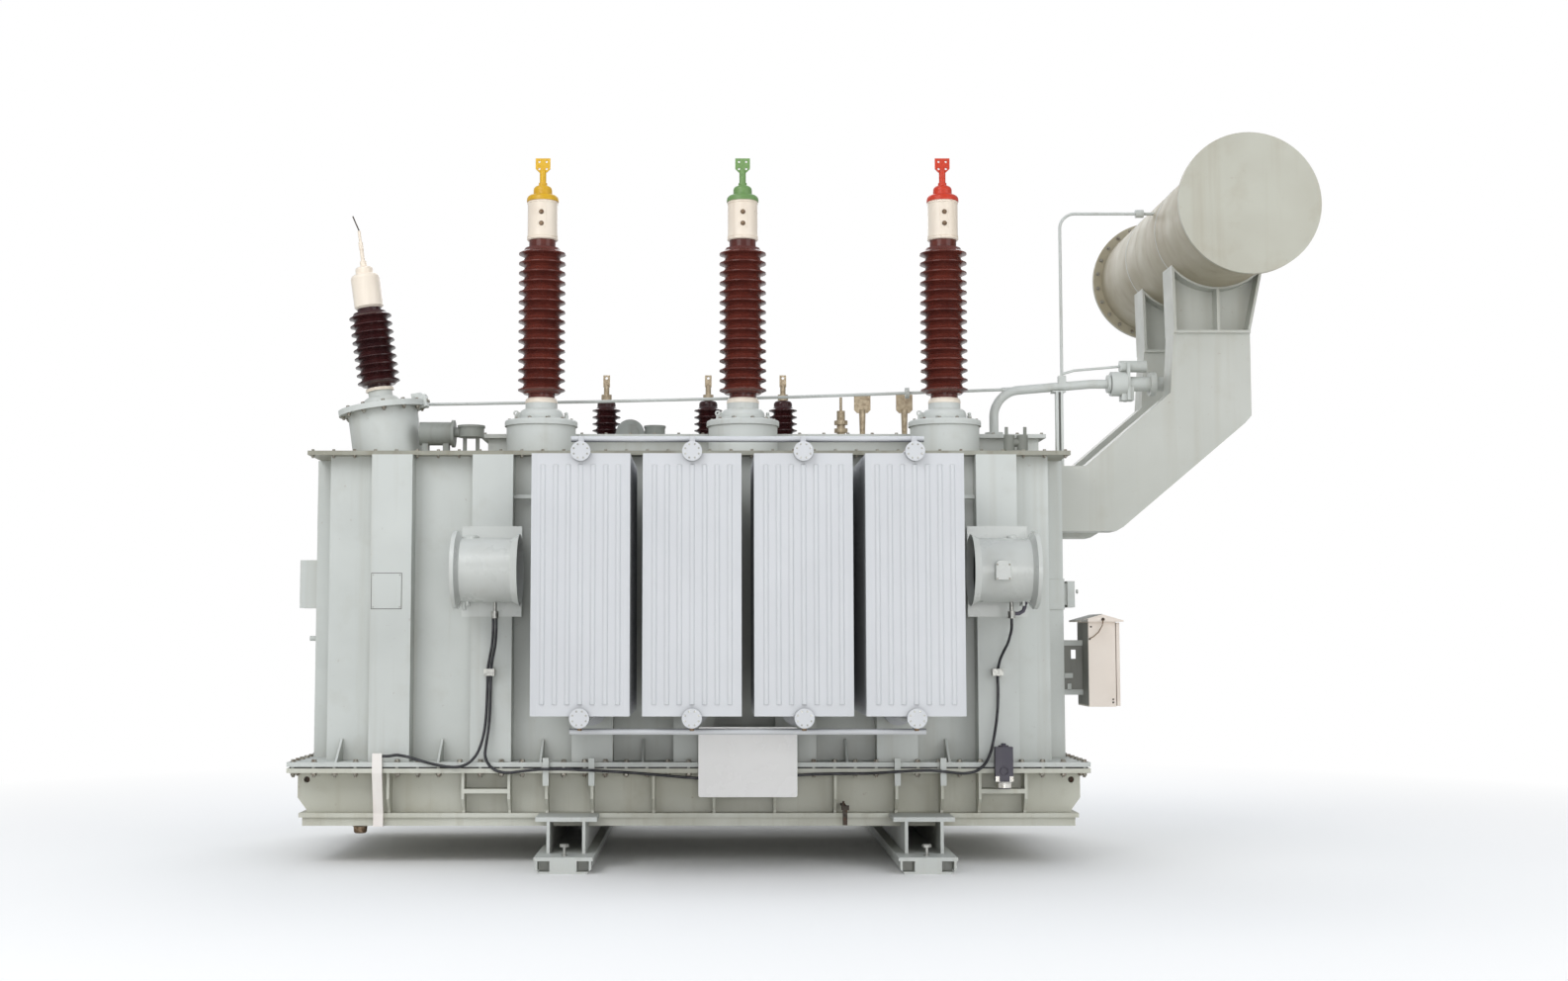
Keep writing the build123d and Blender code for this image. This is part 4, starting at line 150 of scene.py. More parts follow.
SCREW_LEVELS = [78.0, 148.0]
SCREW_R = 11.0
SCREW_HEIGHT = 9.0
WASHER_R = 15.0
WASHER_THICK = 3.0

# Leaning bushing, about its own axis and from the lid
NEUTRAL_X = -1816.0
NEUTRAL_LEAN = 8.2
NEUTRAL_BOLT_CIRCLE = 236.0
NEUTRAL_FLANGE_TOP = 304.0
NEUTRAL_FLANGE_BOTTOM = 270.0
NEUTRAL_HEAD_R = 12.0
NEUTRAL_NUT_R = 13.0
NEUTRAL_STUD = 8.0
NEUTRAL_COLLAR_CIRCLE = 124.0
NEUTRAL_COLLAR_TOP = 316.0
NEUTRAL_NECK = 398.0
NEUTRAL_FOOT_RING = [(104.0, 0), (140.0, 0), (142.0, 4.0), (140.0, 10.0), (108.0, 16.0)]
NEUTRAL_NECK_RING = [(72.5, 0), (84.0, 0), (86.0, 6.0), (82.0, 18.0), (73.0, 20.0)]
PIPE_BLOCK = ((206.0, -46.0, 262.0), (276.0, 46.0, 338.0))
PIPE_BLOCK_CAP = ((186.0, -34.0, 304.0), (248.0, 34.0, 352.0))
BLOCK_BOLT_Y = 30.0
BLOCK_BOLT_Z = 300.0
ROD_TIP = 1389.0
WIRE_R = 4.0
WIRE_BENDS = [(0, -20.0), (0, 4.0), (-12.0, 44.0), (-26.0, 96.0)]

# Radiators
RADIATORS = BAYS[2:6]
HEADER_TOP = 2275.0
HEADER_LOW = 879.0
HEADER_R = 38.0
HEADER_FLANGE = STIFFENER_FRONT + 48.0
HEADER_BOLT_CIRCLE = 64.0
HEADER_BOLT_R = 9.0
DISC_FACE = 2011.0
DISC_BOLT_CIRCLE = 38.0
DISC_BOLT_R = 4.2
RIM_BOLTS = 8
COOLER_LUG_HALF = 15.0
COOLER_LUG_FRONT = -1962.0
COOLER_LUG_REAR = -1948.0
COOLER_LUG_FOOT = 30.0
COOLER_LUG_HEIGHT = 84.0
DRAIN_INSET = 40.0
DRAIN_R = 10.0
DRAIN_LENGTH = 16.0
DRAIN_NUT_R = 13.0
DRAIN_NUT_HEIGHT = 12.0
VENT_NUT_R = 12.0
VENT_NUT_HEIGHT = 14.0
VENT_NUT_Y = -1500.0

# Bare board and its spacers
BOARD_LEFT = 56.0
BOARD_RIGHT = 621.0
BOARD_BOTTOM = 389.0
BOARD_TOP = 787.0
BOARD_FACE = -1021.0
BOARD_THICK = 3.0
BOARD_CORNER_R = 12.0
BAR_PLACES = [180.0, 500.0]
BAR_HALF = 12.0
BAR_THICK = 4.0
BAR_TOP = 582.0
BAR_ARM_BOTTOM = 560.0
BAR_BOTTOM = 470.0

# Fans: each has its place, the way it blows, and the shift and radius of its round cover. A share
# of a radius or half width comes with a height in millimetres.
FANS = [(-1138.0, 1, -94.0, 46.0), (1784.0, -1, 52.0, 32.0)]
FAN_Y = 1175.0
FAN_Z = 1678.0
DUCT_R = 182.0
DUCT_HALF = 143.5
INTAKE_LENGTH = 46.0
INTAKE_BOLT_CIRCLE = 202.0
INTAKE_BOLT_R = 6.0
LINING_R = DUCT_R - 8.4
LINING_THICK = 1.5
COVER_SHARES = [(0, -12.0), (1.0, -12.0), (1.0, 7.0), (0.7, 14.0), (0, 17.0)]
FAN_FOOT_BACK = 108.0
FAN_FOOT_OUT = 40.0
FAN_FOOT_SINK = 8.0
FAN_FOOT_R = 9.0
FAN_FOOT_LENGTH = 30.0
STUB_BACK = 130.0
STUB_SINK = 4.0
STUB_R = 12.0
STUB_LENGTH = 50.0
STUB_NUT_R = 16.0
STUB_NUT_HEIGHT = 12.0
STUB_NUT_DROP = 18.0
FAN_BOX_SHIFT = -28.0
FAN_BOX_HALF = 45.0
FAN_BOX_OUT = 22.0
FAN_BOX_DEPTH = 26.0
FAN_BOX_SIDE_SHARES = [(1.0, -64.0), (1.0, 32.0), (0.7, 46.0), (0.25, 52.0)]
FAN_BOX_SCREWS = [(-34.0, -54.0), (34.0, -54.0), (-34.0, 24.0), (34.0, 24.0)]
FAN_BOX_SCREW_R = 4.5
ELBOW_R = 11.0
ELBOW_BENDS = [(120.0, 6.0), (121.0, -26.0), (112.0, -50.0), (88.0, -64.0), (56.0, -66.0)]
ELBOW_NUT_R = 17.0
ELBOW_NUT_HEIGHT = 16.0
ELBOW_NUT_SINK = 2.0

# Conservator
DRUM_X = 3216.0
DRUM_Z = 3780.0
DRUM_R = 355.0
DRUM_HALF = 1229.0
DRUM_RIM = 44.0
DRUM_BOLTS = 24
DRUM_BOLT_CIRCLE = 383.0
DRUM_BOLT_R = 11.0
DRUM_STUD = 7.0
SEAM_PLACES = [-410.0, 405.0]
SEAM_OUTLINE = [(DRUM_R - 1.0, -6.0), (DRUM_R + 2.0, -2.0), (DRUM_R + 2.0, 2.0),
                (DRUM_R - 1.0, 6.0)]

# Lower tank, skid beams and bare plates
BASE_BOTTOM = 217.0
LUG_HOLE_X = 2229.0
LUG_HOLE_Z = 475.0
LUG_BACK = 815.0
LUG_BACK_R = 27.0
LUG_BACK_THICK = 4.0
PLUG_PLACE = (-1916.0, -760.0, BASE_BOTTOM)
PLUG_HEAD = [(0, 0), (52.0, 0), (54.0, -10.0), (48.0, -16.0)]
PLUG_STEM = [(48.0, -14.0), (40.0, -18.0), (38.0, -48.0), (30.0, -56.0), (0, -56.0)]
EARTH_BAR = [((876.0, -1068.0, 236.0), (902.0, -1056.0, 340.0)),
             ((868.0, -1072.0, 320.0), (912.0, -1052.0, 346.0)),
             ((876.0, -1064.0, 330.0), (902.0, -842.0, 342.0))]
EARTH_BOLT = (880.0, -1062.0, 346.0)
EARTH_BOLT_R = 11.0
EARTH_STUD = 14.0
SKID_MIDDLE = 320.0
SKID_REACH = 1005.0
JACK_Y = 1290.0
JACK_FOOT = 90.0
JACK_R = 9.0
JACK_LENGTH = 50.0
JACK_NUT_R = 26.0
JACK_NUT_HEIGHT = 18.0
JACK_NUT_FOOT = 138.0
JACK_COLLAR_R = 17.0
JACK_COLLAR_HEIGHT = 6.0
PLATE_LEFT = -1838.0
PLATE_RIGHT = -1666.0
PLATE_BOTTOM = 1463.0
PLATE_TOP = 1667.0
PLATE_THICK = 2.0
PLATE_BACK = 1.0
# Width of the rim of painted shadow round the bare plate
PLATE_SHADOW_MARGIN = 3.0
PLATE_SCREW_R = 4.0
PLATE_SCREW_HEIGHT = 2.0
PLATE_SCREW_INSET = 9.0
LEDGES = [(-1026.0, -812.0), (1460.0, 1670.0)]
LEDGE_FRONT = -872.0
LEDGE_REAR = -836.0
LEDGE_BOTTOM = 2106.0
LEDGE_TOP = 2129.0

# Cabinet, its bracket and the boxes on the end of the tank
CABINET_LEFT = 2366.0
CABINET_DEPTH = 160.0
CABINET_WIDTH = 336.0
CABINET_Y = -485.0
CABINET_BOTTOM = 887.0
CABINET_TOP = 1389.0
ROOF_OVER = 46.0
ROOF_EAVE = 8.0
ROOF_RISE = 44.0
# Thickness and insets of the sheets of painted shade on the cabinet
SHADE_SHEET = 2.0
SIDE_INSET = 6.0
SIDE_LIFT = 8.0
GABLE_SHEET = 1.5
GABLE_LIFT = 9.0
CABINET_SCREW_R = 4.5
CABINET_SCREWS = [(CABINET_LEFT + 16.0, CABINET_TOP - 30.0),
                  (CABINET_LEFT + CABINET_DEPTH - 18.0, CABINET_BOTTOM + 26.0),
                  (CABINET_LEFT + CABINET_DEPTH - 18.0, CABINET_BOTTOM + 44.0)]
GABLE_BOLT_R = 8.0
GABLE_STUD = 8.0
GABLE_BOLT_X = 4.0
GABLE_BOLT_UP = 14.0
EARTH_WIRE_R = 3.0
EARTH_WIRE_BENDS = [(4.0, -31.0, 12.0), (-2.0, -26.0, -24.0), (-22.0, -12.0, -62.0),
                    (-50.0, -6.0, -88.0), (-76.0, -6.0, -102.0)]
WIRE_SCREW_R = 5.0
WIRE_SCREW_X = 8.0
WIRE_SCREW_DROP = 102.0
BRACKET_LOW = 980.0
BRACKET_HIGH = 1251.0
BRACKET_Y = -470.0
BRACKET_THICK = 8.0
BRACKET_REACH = 119.0
SLOT_FAR = 70.0
SLOT_NEAR = 41.0
SLOT_LOW = 1168.0
SLOT_HIGH = 1222.0
BRACKET_PLATES = [((CABINET_LEFT - 112.0, BRACKET_Y - 14.0, 1052.0),
                   (CABINET_LEFT - 62.0, BRACKET_Y, 1082.0)),
                  ((CABINET_LEFT - 96.0, BRACKET_Y - 12.0, BRACKET_LOW),
                   (CABINET_LEFT - 72.0, BRACKET_Y, BRACKET_LOW + 40.0))]
STIFFENER_RIGHT = 2247.0
END_PLATE = ((STIFFENER_RIGHT - 85.0, -517.0, 1464.0), (STIFFENER_RIGHT + 3.0, -511.0, 1643.0))
END_PLUG = (STIFFENER_RIGHT + 100.0, -393.0, 1574.0)
END_PLUG_R = 13.0
END_PLUG_LENGTH = 12.0

# Air dryer
DRYER_X = 1795.0
DRYER_Y = -1045.0
DRYER_BOTTOM = 481.0
CUP_OUTLINE = [(44.4, -36.0), (46.0, -34.0), (46.0, -8.0), (48.6, -6.0), (49.4, 0), (49.4, -1.0),
               (44.4, -1.0), (44.4, -36.0)]
SIGHT_RING = [(18.0, 0), (26.0, 0), (26.0, 5.0), (22.0, 7.0), (18.0, 5.0), (18.0, 0)]
SIGHT_UP = 60.0
DRYER_FACE = DRYER_Y - 29.0
DRYER_TOP = DRYER_BOTTOM + 195.0
FILLER_R = 30.0
FILLER_HEIGHT = 8.0
FILLER_NUT_R = 14.0
FILLER_NUT_HEIGHT = 12.0
DRYER_SIDE = 40.0
DRYER_BOLT_R = 4.0
DRYER_BOLT_UP = 183.0
STRAP_HALF = 11.0
STRAP_HEIGHT = 30.0
STRAP_FRONT = DRYER_Y - 31.0
STRAP_REAR = DRYER_Y - 28.0


def linear(value):
    """One channel of a screen colour, 0 to 255, as linear light."""
    share = value / 255.0
    return share / 12.92 if share <= 0.04045 else ((share + 0.055) / 1.055) ** 2.4


def colour(red, green, blue):
    """Three screen values, 0 to 255, as a colour in linear light."""
    return (linear(red), linear(green), linear(blue), 1.0)


def place(point):
    """A point in the tank's millimetres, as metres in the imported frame."""
    return Vector((TANK_MIDDLE[0] + point[0] * MM, point[1] * MM, point[2] * MM))


class Nodes:
    """Short ways to add and join the nodes of one material."""

    def __init__(self, name):
        self.material = bpy.data.materials.new(name)
        self.material.use_nodes = True
        self.tree = self.material.node_tree
        self.shader = self.tree.nodes["Principled BSDF"]
        self.where = self.add("ShaderNodeTexCoord").outputs["Object"]

    def add(self, kind, **values):
        node = self.tree.nodes.new(kind)
        for key, value in values.items():
            setattr(node, key, value)
        return node

    def join(self, source, target):
        self.tree.links.new(source, target)

    def noise(self, scale, detail, stretch=(1.0, 1.0, 1.0)):
        mapping = self.add("ShaderNodeMapping")
        mapping.inputs["Scale"].default_value = stretch
        self.join(self.where, mapping.inputs["Vector"])
        noise = self.add("ShaderNodeTexNoise")
        noise.inputs["Scale"].default_value = scale
        noise.inputs["Detail"].default_value = detail
        noise.inputs["Roughness"].default_value = 0.55
        self.join(mapping.outputs["Vector"], noise.inputs["Vector"])
        return noise.outputs["Fac"]

    def ramp(self, source, low, high, start=0.0, end=1.0):
        """The source between low and high, spread from start to end."""
        node = self.add("ShaderNodeMapRange")
        node.inputs["From Min"].default_value = low
        node.inputs["From Max"].default_value = high
        node.inputs["To Min"].default_value = start
        node.inputs["To Max"].default_value = end
        self.join(source, node.inputs["Value"])
        return node.outputs["Result"]

    def times(self, first, second):
        node = self.add("ShaderNodeMath", operation="MULTIPLY")
        for socket, value in zip(node.inputs, (first, second)):
            if isinstance(value, float):
                socket.default_value = value
            else:
                self.join(value, socket)
        return node.outputs["Value"]

    def mix(self, share, first, second):
        """Blend by a share of two colours, each a socket or three screen values."""
        node = self.add("ShaderNodeMix", data_type="RGBA")
        self.join(share, node.inputs["Factor"])
        for socket, value in ((node.inputs[6], first), (node.inputs[7], second)):
            if isinstance(value, tuple):
                socket.default_value = colour(*value)
            else:
                self.join(value, socket)
        return node.outputs[2]

    # Share for painted shade: ambient occlusion, high where nearby surfaces close a place in
    def nook(self, reach=0.45):
        """Share that grows where other surfaces close a place in, within a reach in metres."""
        node = self.add("ShaderNodeAmbientOcclusion", samples=6)
        node.inputs["Distance"].default_value = reach
        return self.ramp(node.outputs["AO"], 0.72, 0.12)

    def bump(self, source, strength, distance):
        node = self.add("ShaderNodeBump")
        node.inputs["Strength"].default_value = strength
        node.inputs["Distance"].default_value = distance
        self.join(source, node.inputs["Height"])
        self.join(node.outputs["Normal"], self.shader.inputs["Normal"])

    def set(self, **values):
        for key, value in values.items():
            self.shader.inputs[key.replace("_", " ")].default_value = value


def paint(name, base, shade, dirt, rust, streaks=0.25, spots=0.2, rough=(0.42, 0.6), coat=0.0,
          shade_and_grime=None, corners=0.0):
    """Enamel with soft blotches, run marks, dust, rust specks, and painted shade with dirt in its
    corners.
    """
    made = Nodes(name)
    blotch = made.ramp(made.noise(1.7, 3.0), 0.35, 0.68)
    body = made.mix(blotch, base, shade)
    runs = made.times(made.ramp(made.noise(1.0, 5.0, (11.0, 11.0, 0.5)), 0.52, 0.74), streaks)
    body = made.mix(runs, body, dirt)
    cloud = made.ramp(made.noise(5.0, 8.0), 0.56, 0.8)
    body = made.mix(made.times(cloud, streaks), body, dirt)
    speck = made.times(made.ramp(made.noise(34.0, 3.0), 0.70, 0.76), spots)
    body = made.mix(speck, body, rust)
    # Painted shade: the colour darkens towards the given nook colour where nearby surfaces close a place
    # in
    if corners:
        body = made.mix(made.times(made.nook(), corners), body, shade_and_grime)
    made.join(body, made.shader.inputs["Base Color"])
    made.join(made.ramp(made.noise(7.0, 6.0), 0.3, 0.7, *rough), made.shader.inputs["Roughness"])
    made.bump(made.noise(70.0, 4.0), 0.16, 0.0006)
    made.set(Coat_Weight=coat, Coat_Roughness=0.25)
    return made.material


def glazed(name, base, shade):
    """Brown glazed porcelain, darker in soft random pools, with fine pits."""
    made = Nodes(name)
    pool = made.ramp(made.noise(5.0, 3.0, (1.0, 1.0, 2.2)), 0.35, 0.7)
    body = made.mix(pool, base, shade)
    dust = made.times(made.ramp(made.noise(22.0, 6.0), 0.60, 0.85), 0.07)
    body = made.mix(dust, body, (142, 120, 108))
    made.join(body, made.shader.inputs["Base Color"])
    made.join(made.ramp(made.noise(16.0, 5.0), 0.3, 0.7, 0.2, 0.3), made.shader.inputs["Roughness"])
    made.bump(made.noise(36.0, 2.0), 0.04, 0.0005)
    made.set(Coat_Weight=0.12, Coat_Roughness=0.12, Specular_IOR_Level=0.35)
    return made.material


def metal(name, base, shade, rough, scale, metallic, rust=0.0):
    """Bare metal with a fine, blotchy tarnish."""
    made = Nodes(name)
    blotch = made.ramp(made.noise(scale, 6.0), 0.35, 0.68)
    body = made.mix(blotch, base, shade)
    if rust:
        speck = made.times(made.ramp(made.noise(scale / 2, 8.0), 0.52, 0.68), rust)
        body = made.mix(speck, body, (112, 70, 44))
    made.join(body, made.shader.inputs["Base Color"])
    made.join(made.ramp(made.noise(scale * 2, 5.0), 0.3, 0.7, *rough),
              made.shader.inputs["Roughness"])
    made.bump(made.noise(scale * 5, 3.0), 0.12, 0.0004)
    made.set(Metallic=metallic)
    return made.material


def rubber(name, base, shade, rough=(0.5, 0.72)):
    """Black sheath or gasket, dusted a little."""
    made = Nodes(name)
    dust = made.ramp(made.noise(18.0, 8.0), 0.45, 0.8)
    made.join(made.mix(dust, base, shade), made.shader.inputs["Base Color"])
    made.join(made.ramp(made.noise(30.0, 4.0), 0.3, 0.7, *rough), made.shader.inputs["Roughness"])
    made.bump(made.noise(240.0, 3.0), 0.2, 0.0004)
    return made.material


# Finishes, with their colours as screen values from 0 to 255
RUST = (128, 84, 52)
DUST = (170, 166, 150)
NOOK_SHADE_AND_GRIME = (104, 98, 76)
RADIATOR_GAP_SHADE = (34, 40, 46)
# Tank and base paint darken to olive in their nooks: painted shade, with some dirt
TANK = paint("tank_paint", (212, 216, 213), (203, 207, 204), DUST, RUST, shade_and_grime=NOOK_SHADE_AND_GRIME, corners=0.38)
LID = paint("lid_paint", (164, 164, 153), (148, 146, 132), (118, 108, 84), RUST, streaks=0.45, spots=0.4)
ARM = paint("arm_paint", (197, 199, 193), (188, 190, 183), DUST, RUST, streaks=0.3)
# The lid fittings get a darker copy of the tank paint: painted shade, with streaks of dirt
LID_FITTINGS_SHADE = paint("lid_fittings_shade_and_dirt", (152, 156, 152), (126, 128, 120), (98, 94, 78), RUST,
                   streaks=0.4, spots=0.3)
# The base paint is a warmer, dirtier copy of the tank paint: partly dirt, partly painted shade
BASE = paint("base_paint", (214, 215, 205), (200, 200, 187), (156, 146, 118), RUST, streaks=0.3,
             spots=0.3, shade_and_grime=NOOK_SHADE_AND_GRIME, corners=0.35)
SHELL = paint("conservator_paint", (180, 174, 154), (162, 152, 128), (134, 108, 78), RUST, streaks=0.3,
              spots=0.3)
SHELL_END = paint("conservator_end_paint", (190, 190, 178), (179, 177, 164), (156, 144, 122), RUST,
                  streaks=0.3, spots=0.2)
# Radiators darken to near black in their nooks: painted shade in the gaps between them
RADIATOR = paint("radiator_paint", (209, 211, 215), (205, 207, 211), (194, 196, 198), RUST, streaks=0.03,
                 spots=0.02, rough=(0.4, 0.52), shade_and_grime=RADIATOR_GAP_SHADE, corners=0.95)
FAN = paint("fan_paint", (217, 220, 217), (208, 211, 207), DUST, RUST, streaks=0.12, spots=0.1,
            rough=(0.24, 0.36), coat=0.4)
DARK = paint("rotor_dark", (44, 48, 50), (30, 33, 35), (92, 90, 84), RUST, streaks=0.2, spots=0.1)
DARK_BOX = paint("dark_grey", (88, 84, 96), (70, 68, 78), (126, 122, 122), RUST, streaks=0.2, spots=0.1)
PORCELAIN = glazed("porcelain", (106, 48, 38), (84, 37, 31))
PORCELAIN_DARK = glazed("porcelain_dark", (62, 27, 27), (44, 19, 21))
YELLOW = paint("phase_yellow", (226, 178, 12), (208, 160, 10), (150, 118, 60), RUST, streaks=0.2,
               rough=(0.34, 0.46), coat=0.1)
GREEN = paint("phase_green", (126, 164, 98), (108, 146, 84), (120, 128, 96), RUST, streaks=0.2,
              rough=(0.34, 0.46), coat=0.1)
RED = paint("phase_red", (216, 62, 20), (198, 46, 14), (130, 80, 60), RUST, streaks=0.2,
            rough=(0.34, 0.46), coat=0.1)
CREAM = paint("cap_metal", (250, 239, 224), (238, 224, 207), (196, 174, 152), RUST, streaks=0.25,
              spots=0.2, rough=(0.26, 0.42), coat=0.2)
CABINET = paint("cabinet_paint", (243, 233, 223), (234, 222, 211), (190, 172, 158), RUST, streaks=0.2,
                spots=0.12)
# Grey for sheets of painted shade on the cabinet, and for the cabinet's dark bracket
CABINET_SHADE_AND_BRACKET = paint("cabinet_painted_shade_and_bracket", (140, 140, 134), (118, 118, 112), (132, 124, 112), RUST, streaks=0.3,
                     spots=0.2)
WHITE = paint("sign_white", (255, 254, 254), (252, 251, 251), (224, 218, 214), RUST, streaks=0.1,
              spots=0.05, rough=(0.2, 0.32), coat=0.4)
PLASTIC = paint("plastic_white", (254, 250, 246), (248, 241, 236), (208, 186, 174), RUST, streaks=0.2,
                spots=0.1, rough=(0.4, 0.55))
TERMINAL = metal("terminal_metal", (190, 174, 148), (162, 146, 122), (0.35, 0.55), 40.0, 0.5, 0.2)
ZINC = metal("galvanised", (186, 186, 180), (150, 150, 146), (0.3, 0.5), 50.0, 0.8)
BOLT = metal("bolt_metal", (176, 174, 164), (120, 112, 100), (0.35, 0.6), 90.0, 0.6, 0.45)
BRASS = metal("brown_brass", (150, 130, 108), (104, 84, 66), (0.35, 0.55), 50.0, 0.8, 0.3)
IRON = metal("dark_iron", (84, 76, 68), (56, 50, 46), (0.5, 0.7), 60.0, 0.5, 0.5)
RUBBER = rubber("gasket_rubber", (46, 46, 46), (86, 82, 76))
CABLE = rubber("cable_black", (42, 42, 46), (82, 82, 86), (0.35, 0.55))
SILVER = metal("bright_cup", (222, 220, 214), (176, 172, 164), (0.12, 0.24), 30.0, 0.95)

SLOTS = {
    "tank_paint": TANK, "radiator_paint": RADIATOR, "fan_paint": FAN, "rotor_dark": DARK,
    "porcelain": PORCELAIN, "phase_yellow": YELLOW, "phase_green": GREEN, "phase_red": RED,
    "cap_metal": CREAM, "terminal_metal": TERMINAL, "gasket_rubber": RUBBER,
    "cabinet_paint": CABINET, "galvanised": ZINC, "cable_black": CABLE, "dark_grey": DARK_BOX,
    "plastic_white": PLASTIC, "sign_white": WHITE,
}

# Pieces painted otherwise than the rest of their slot: some with their own tone and dirt, the lid
# fittings darker as painted shade, the base warmer, partly as painted shade
OWN_FINISHES = {
    "lv_porcelain": PORCELAIN_DARK, "neutral_porcelain": PORCELAIN_DARK, "base_tank": BASE,
    "tank_lid": LID, "lid_fittings": LID_FITTINGS_SHADE, "conservator_shell": SHELL,
    "conservator_arm_front": ARM, "conservator_arm_rear": ARM, "conservator_cradles": ARM,
    "conservator_rear_end": SHELL_END, "conservator_front_end": SHELL_END,
}


def dress_nodes():
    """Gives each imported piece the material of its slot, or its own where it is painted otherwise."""
    for part in frame["record"]["subparts"]:
        name = part["node"]
        node = frame["nodes"][name]
        node.data.materials.clear()
        node.data.materials.append(OWN_FINISHES.get(name, SLOTS[part["material_slot"]]))


def side_frame(axis):
    """An axis of length one, and two directions square to it."""
    axis = Vector(axis).normalized()
    first = axis.orthogonal().normalized()
    if abs(axis.z) < 0.9:
        first = axis.cross(Vector(UP)).normalized()
    return axis, first, axis.cross(first)


class Shape:
    """Gathers simple forms in the tank's millimetres, and makes one piece of them."""

    def __init__(self):
        self.points = []
        self.faces = []

    def add(self, points, faces):
        start = len(self.points)
        self.points += [tuple(point) for point in points]
        self.faces += [tuple(start + index for index in face) for face in faces]

    def lathe(self, profile, foot, axis=UP, count=32, turn=0.0):
        """A turned form: pairs of radius and distance along the axis from its foot."""
        axis, first, second = side_frame(axis)
        foot = Vector(foot)
        points, faces, rings = [], [], []
        for radius, along in profile:
            centre = foot + axis * along
            if radius <= 0:
                rings.append([len(points)])
                points.append(centre)
                continue
            ring = []
            for step in range(count):
                angle = turn + 2 * math.pi * step / count
                ring.append(len(points))
                points.append(centre + radius * (math.cos(angle) * first + math.sin(angle) * second))
            rings.append(ring)
        for low, high in zip(rings, rings[1:]):
            for step in range(count):
                after = (step + 1) % count
                if len(low) == 1 and len(high) == 1:
                    continue
                if len(low) == 1:
                    faces.append((low[0], high[after], high[step]))
                elif len(high) == 1:
                    faces.append((low[step], low[after], high[0]))
                else:
                    faces.append((low[step], low[after], high[after], high[step]))
        self.add(points, faces)

    def rod(self, radius, length, foot, axis=UP, count=24, edge=0.0):
        """A round bar with closed ends, with its rims broken by an edge."""
        edge = min(edge, radius / 2, length / 3)
        self.lathe([(0, 0), (radius - edge, 0), (radius, edge), (radius, length - edge),
                    (radius - edge, length), (0, length)], foot, axis, count)

    def nut(self, radius, length, foot, axis=UP, turn=0.0):
        """A six-sided nut or bolt head with a chamfered top."""
        self.lathe([(0, 0), (radius, 0), (radius, length * CHAMFER_SHARE),
                    (radius * CHAMFER_R_SHARE, length), (0, length)], foot, axis, 6, turn)

    def bolt(self, radius, foot, axis=UP, turn=0.0, stud=0.0):
        """A head on a washer, or a nut with the end of its stud."""
        axis = Vector(axis).normalized()
        washer, head = radius * WASHER_SHARE, radius * HEAD_SHARE
        self.rod(radius * WASHER_R_SHARE, washer, foot, axis, 14)
        self.nut(radius, head, Vector(foot) + axis * washer, axis, turn)
        if stud:
            self.rod(radius * STUD_R_SHARE, stud, Vector(foot) + axis * (washer + head), axis, 10,
                     radius * STUD_EDGE_SHARE)

    def box(self, low, high):
        (x0, y0, z0), (x1, y1, z1) = low, high
        self.add([(x0, y0, z0), (x1, y0, z0), (x1, y1, z0), (x0, y1, z0),
                  (x0, y0, z1), (x1, y0, z1), (x1, y1, z1), (x0, y1, z1)],
                 [(3, 2, 1, 0), (4, 5, 6, 7), (0, 1, 5, 4), (1, 2, 6, 5), (2, 3, 7, 6), (3, 0, 4, 7)])

    def plate(self, outline, depth):
        """An outline of points, pushed along a vector to make a plate."""
        count = len(outline)
        near = [Vector(point) for point in outline]
        far = [point + Vector(depth) for point in near]
        faces = [tuple(range(count - 1, -1, -1)), tuple(range(count, 2 * count))]
        for step in range(count):
            after = (step + 1) % count
            faces.append((step, after, count + after, count + step))
        self.add(near + far, faces)

    def tube(self, path, radius, count=10):
        """A round bar along a path of points, with closed ends."""
        path = [Vector(point) for point in path]
        points, faces = [], []
        first = None
        for index, point in enumerate(path):
            ahead = path[min(index + 1, len(path) - 1)] - path[max(index - 1, 0)]
            ahead.normalize()
            if first is None:
                first = side_frame(ahead)[1]
            first = (first - ahead * first.dot(ahead)).normalized()
            second = ahead.cross(first)
            for step in range(count):
                angle = 2 * math.pi * step / count
                points.append(point + radius * (math.cos(angle) * first + math.sin(angle) * second))
        for index in range(len(path) - 1):
            for step in range(count):
                after = (step + 1) % count
                low, high = index * count, (index + 1) * count
                faces.append((low + step, low + after, high + after, high + step))
        last = (len(path) - 1) * count
        faces.append(tuple(range(count - 1, -1, -1)))
        faces.append(tuple(range(last, last + count)))
        self.add(points, faces)

    def mirrored(self):
        """Adds the mirror image of all that is here, on the rear side."""
        points = [(x, -y, z) for x, y, z in self.points]
        faces = [tuple(reversed(face)) for face in self.faces]
        self.add(points, faces)
        return self

    def piece(self, name, material, slot=None, edge=0.0):
        """One named piece of all that is here, which rides on the fixed body."""
        mesh = bpy.data.meshes.new(name)
        mesh.from_pydata([place(point) for point in self.points], [], self.faces)
        mesh.validate()
        mesh.materials.append(material)
        made = bpy.data.objects.new(name, mesh)
        bpy.context.scene.collection.objects.link(made)
        if edge:
            bevel = made.modifiers.new("edges", "BEVEL")
            bevel.width = edge * MM
            bevel.segments = 2
            bevel.limit_method = "ANGLE"
            bevel.angle_limit = math.radians(BEVEL_ANGLE)
        mesh.polygons.foreach_set("use_smooth", [True] * len(mesh.polygons))
        mesh.set_sharp_from_angle(angle=math.radians(SHARP_ANGLE))
        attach(made, "transformer")


def spread(low, high, pitch):
    """Places from low to high, evenly spread at about a pitch."""
    count = max(1, round((high - low) / pitch))
    return [low + (high - low) * step / count for step in range(count + 1)]


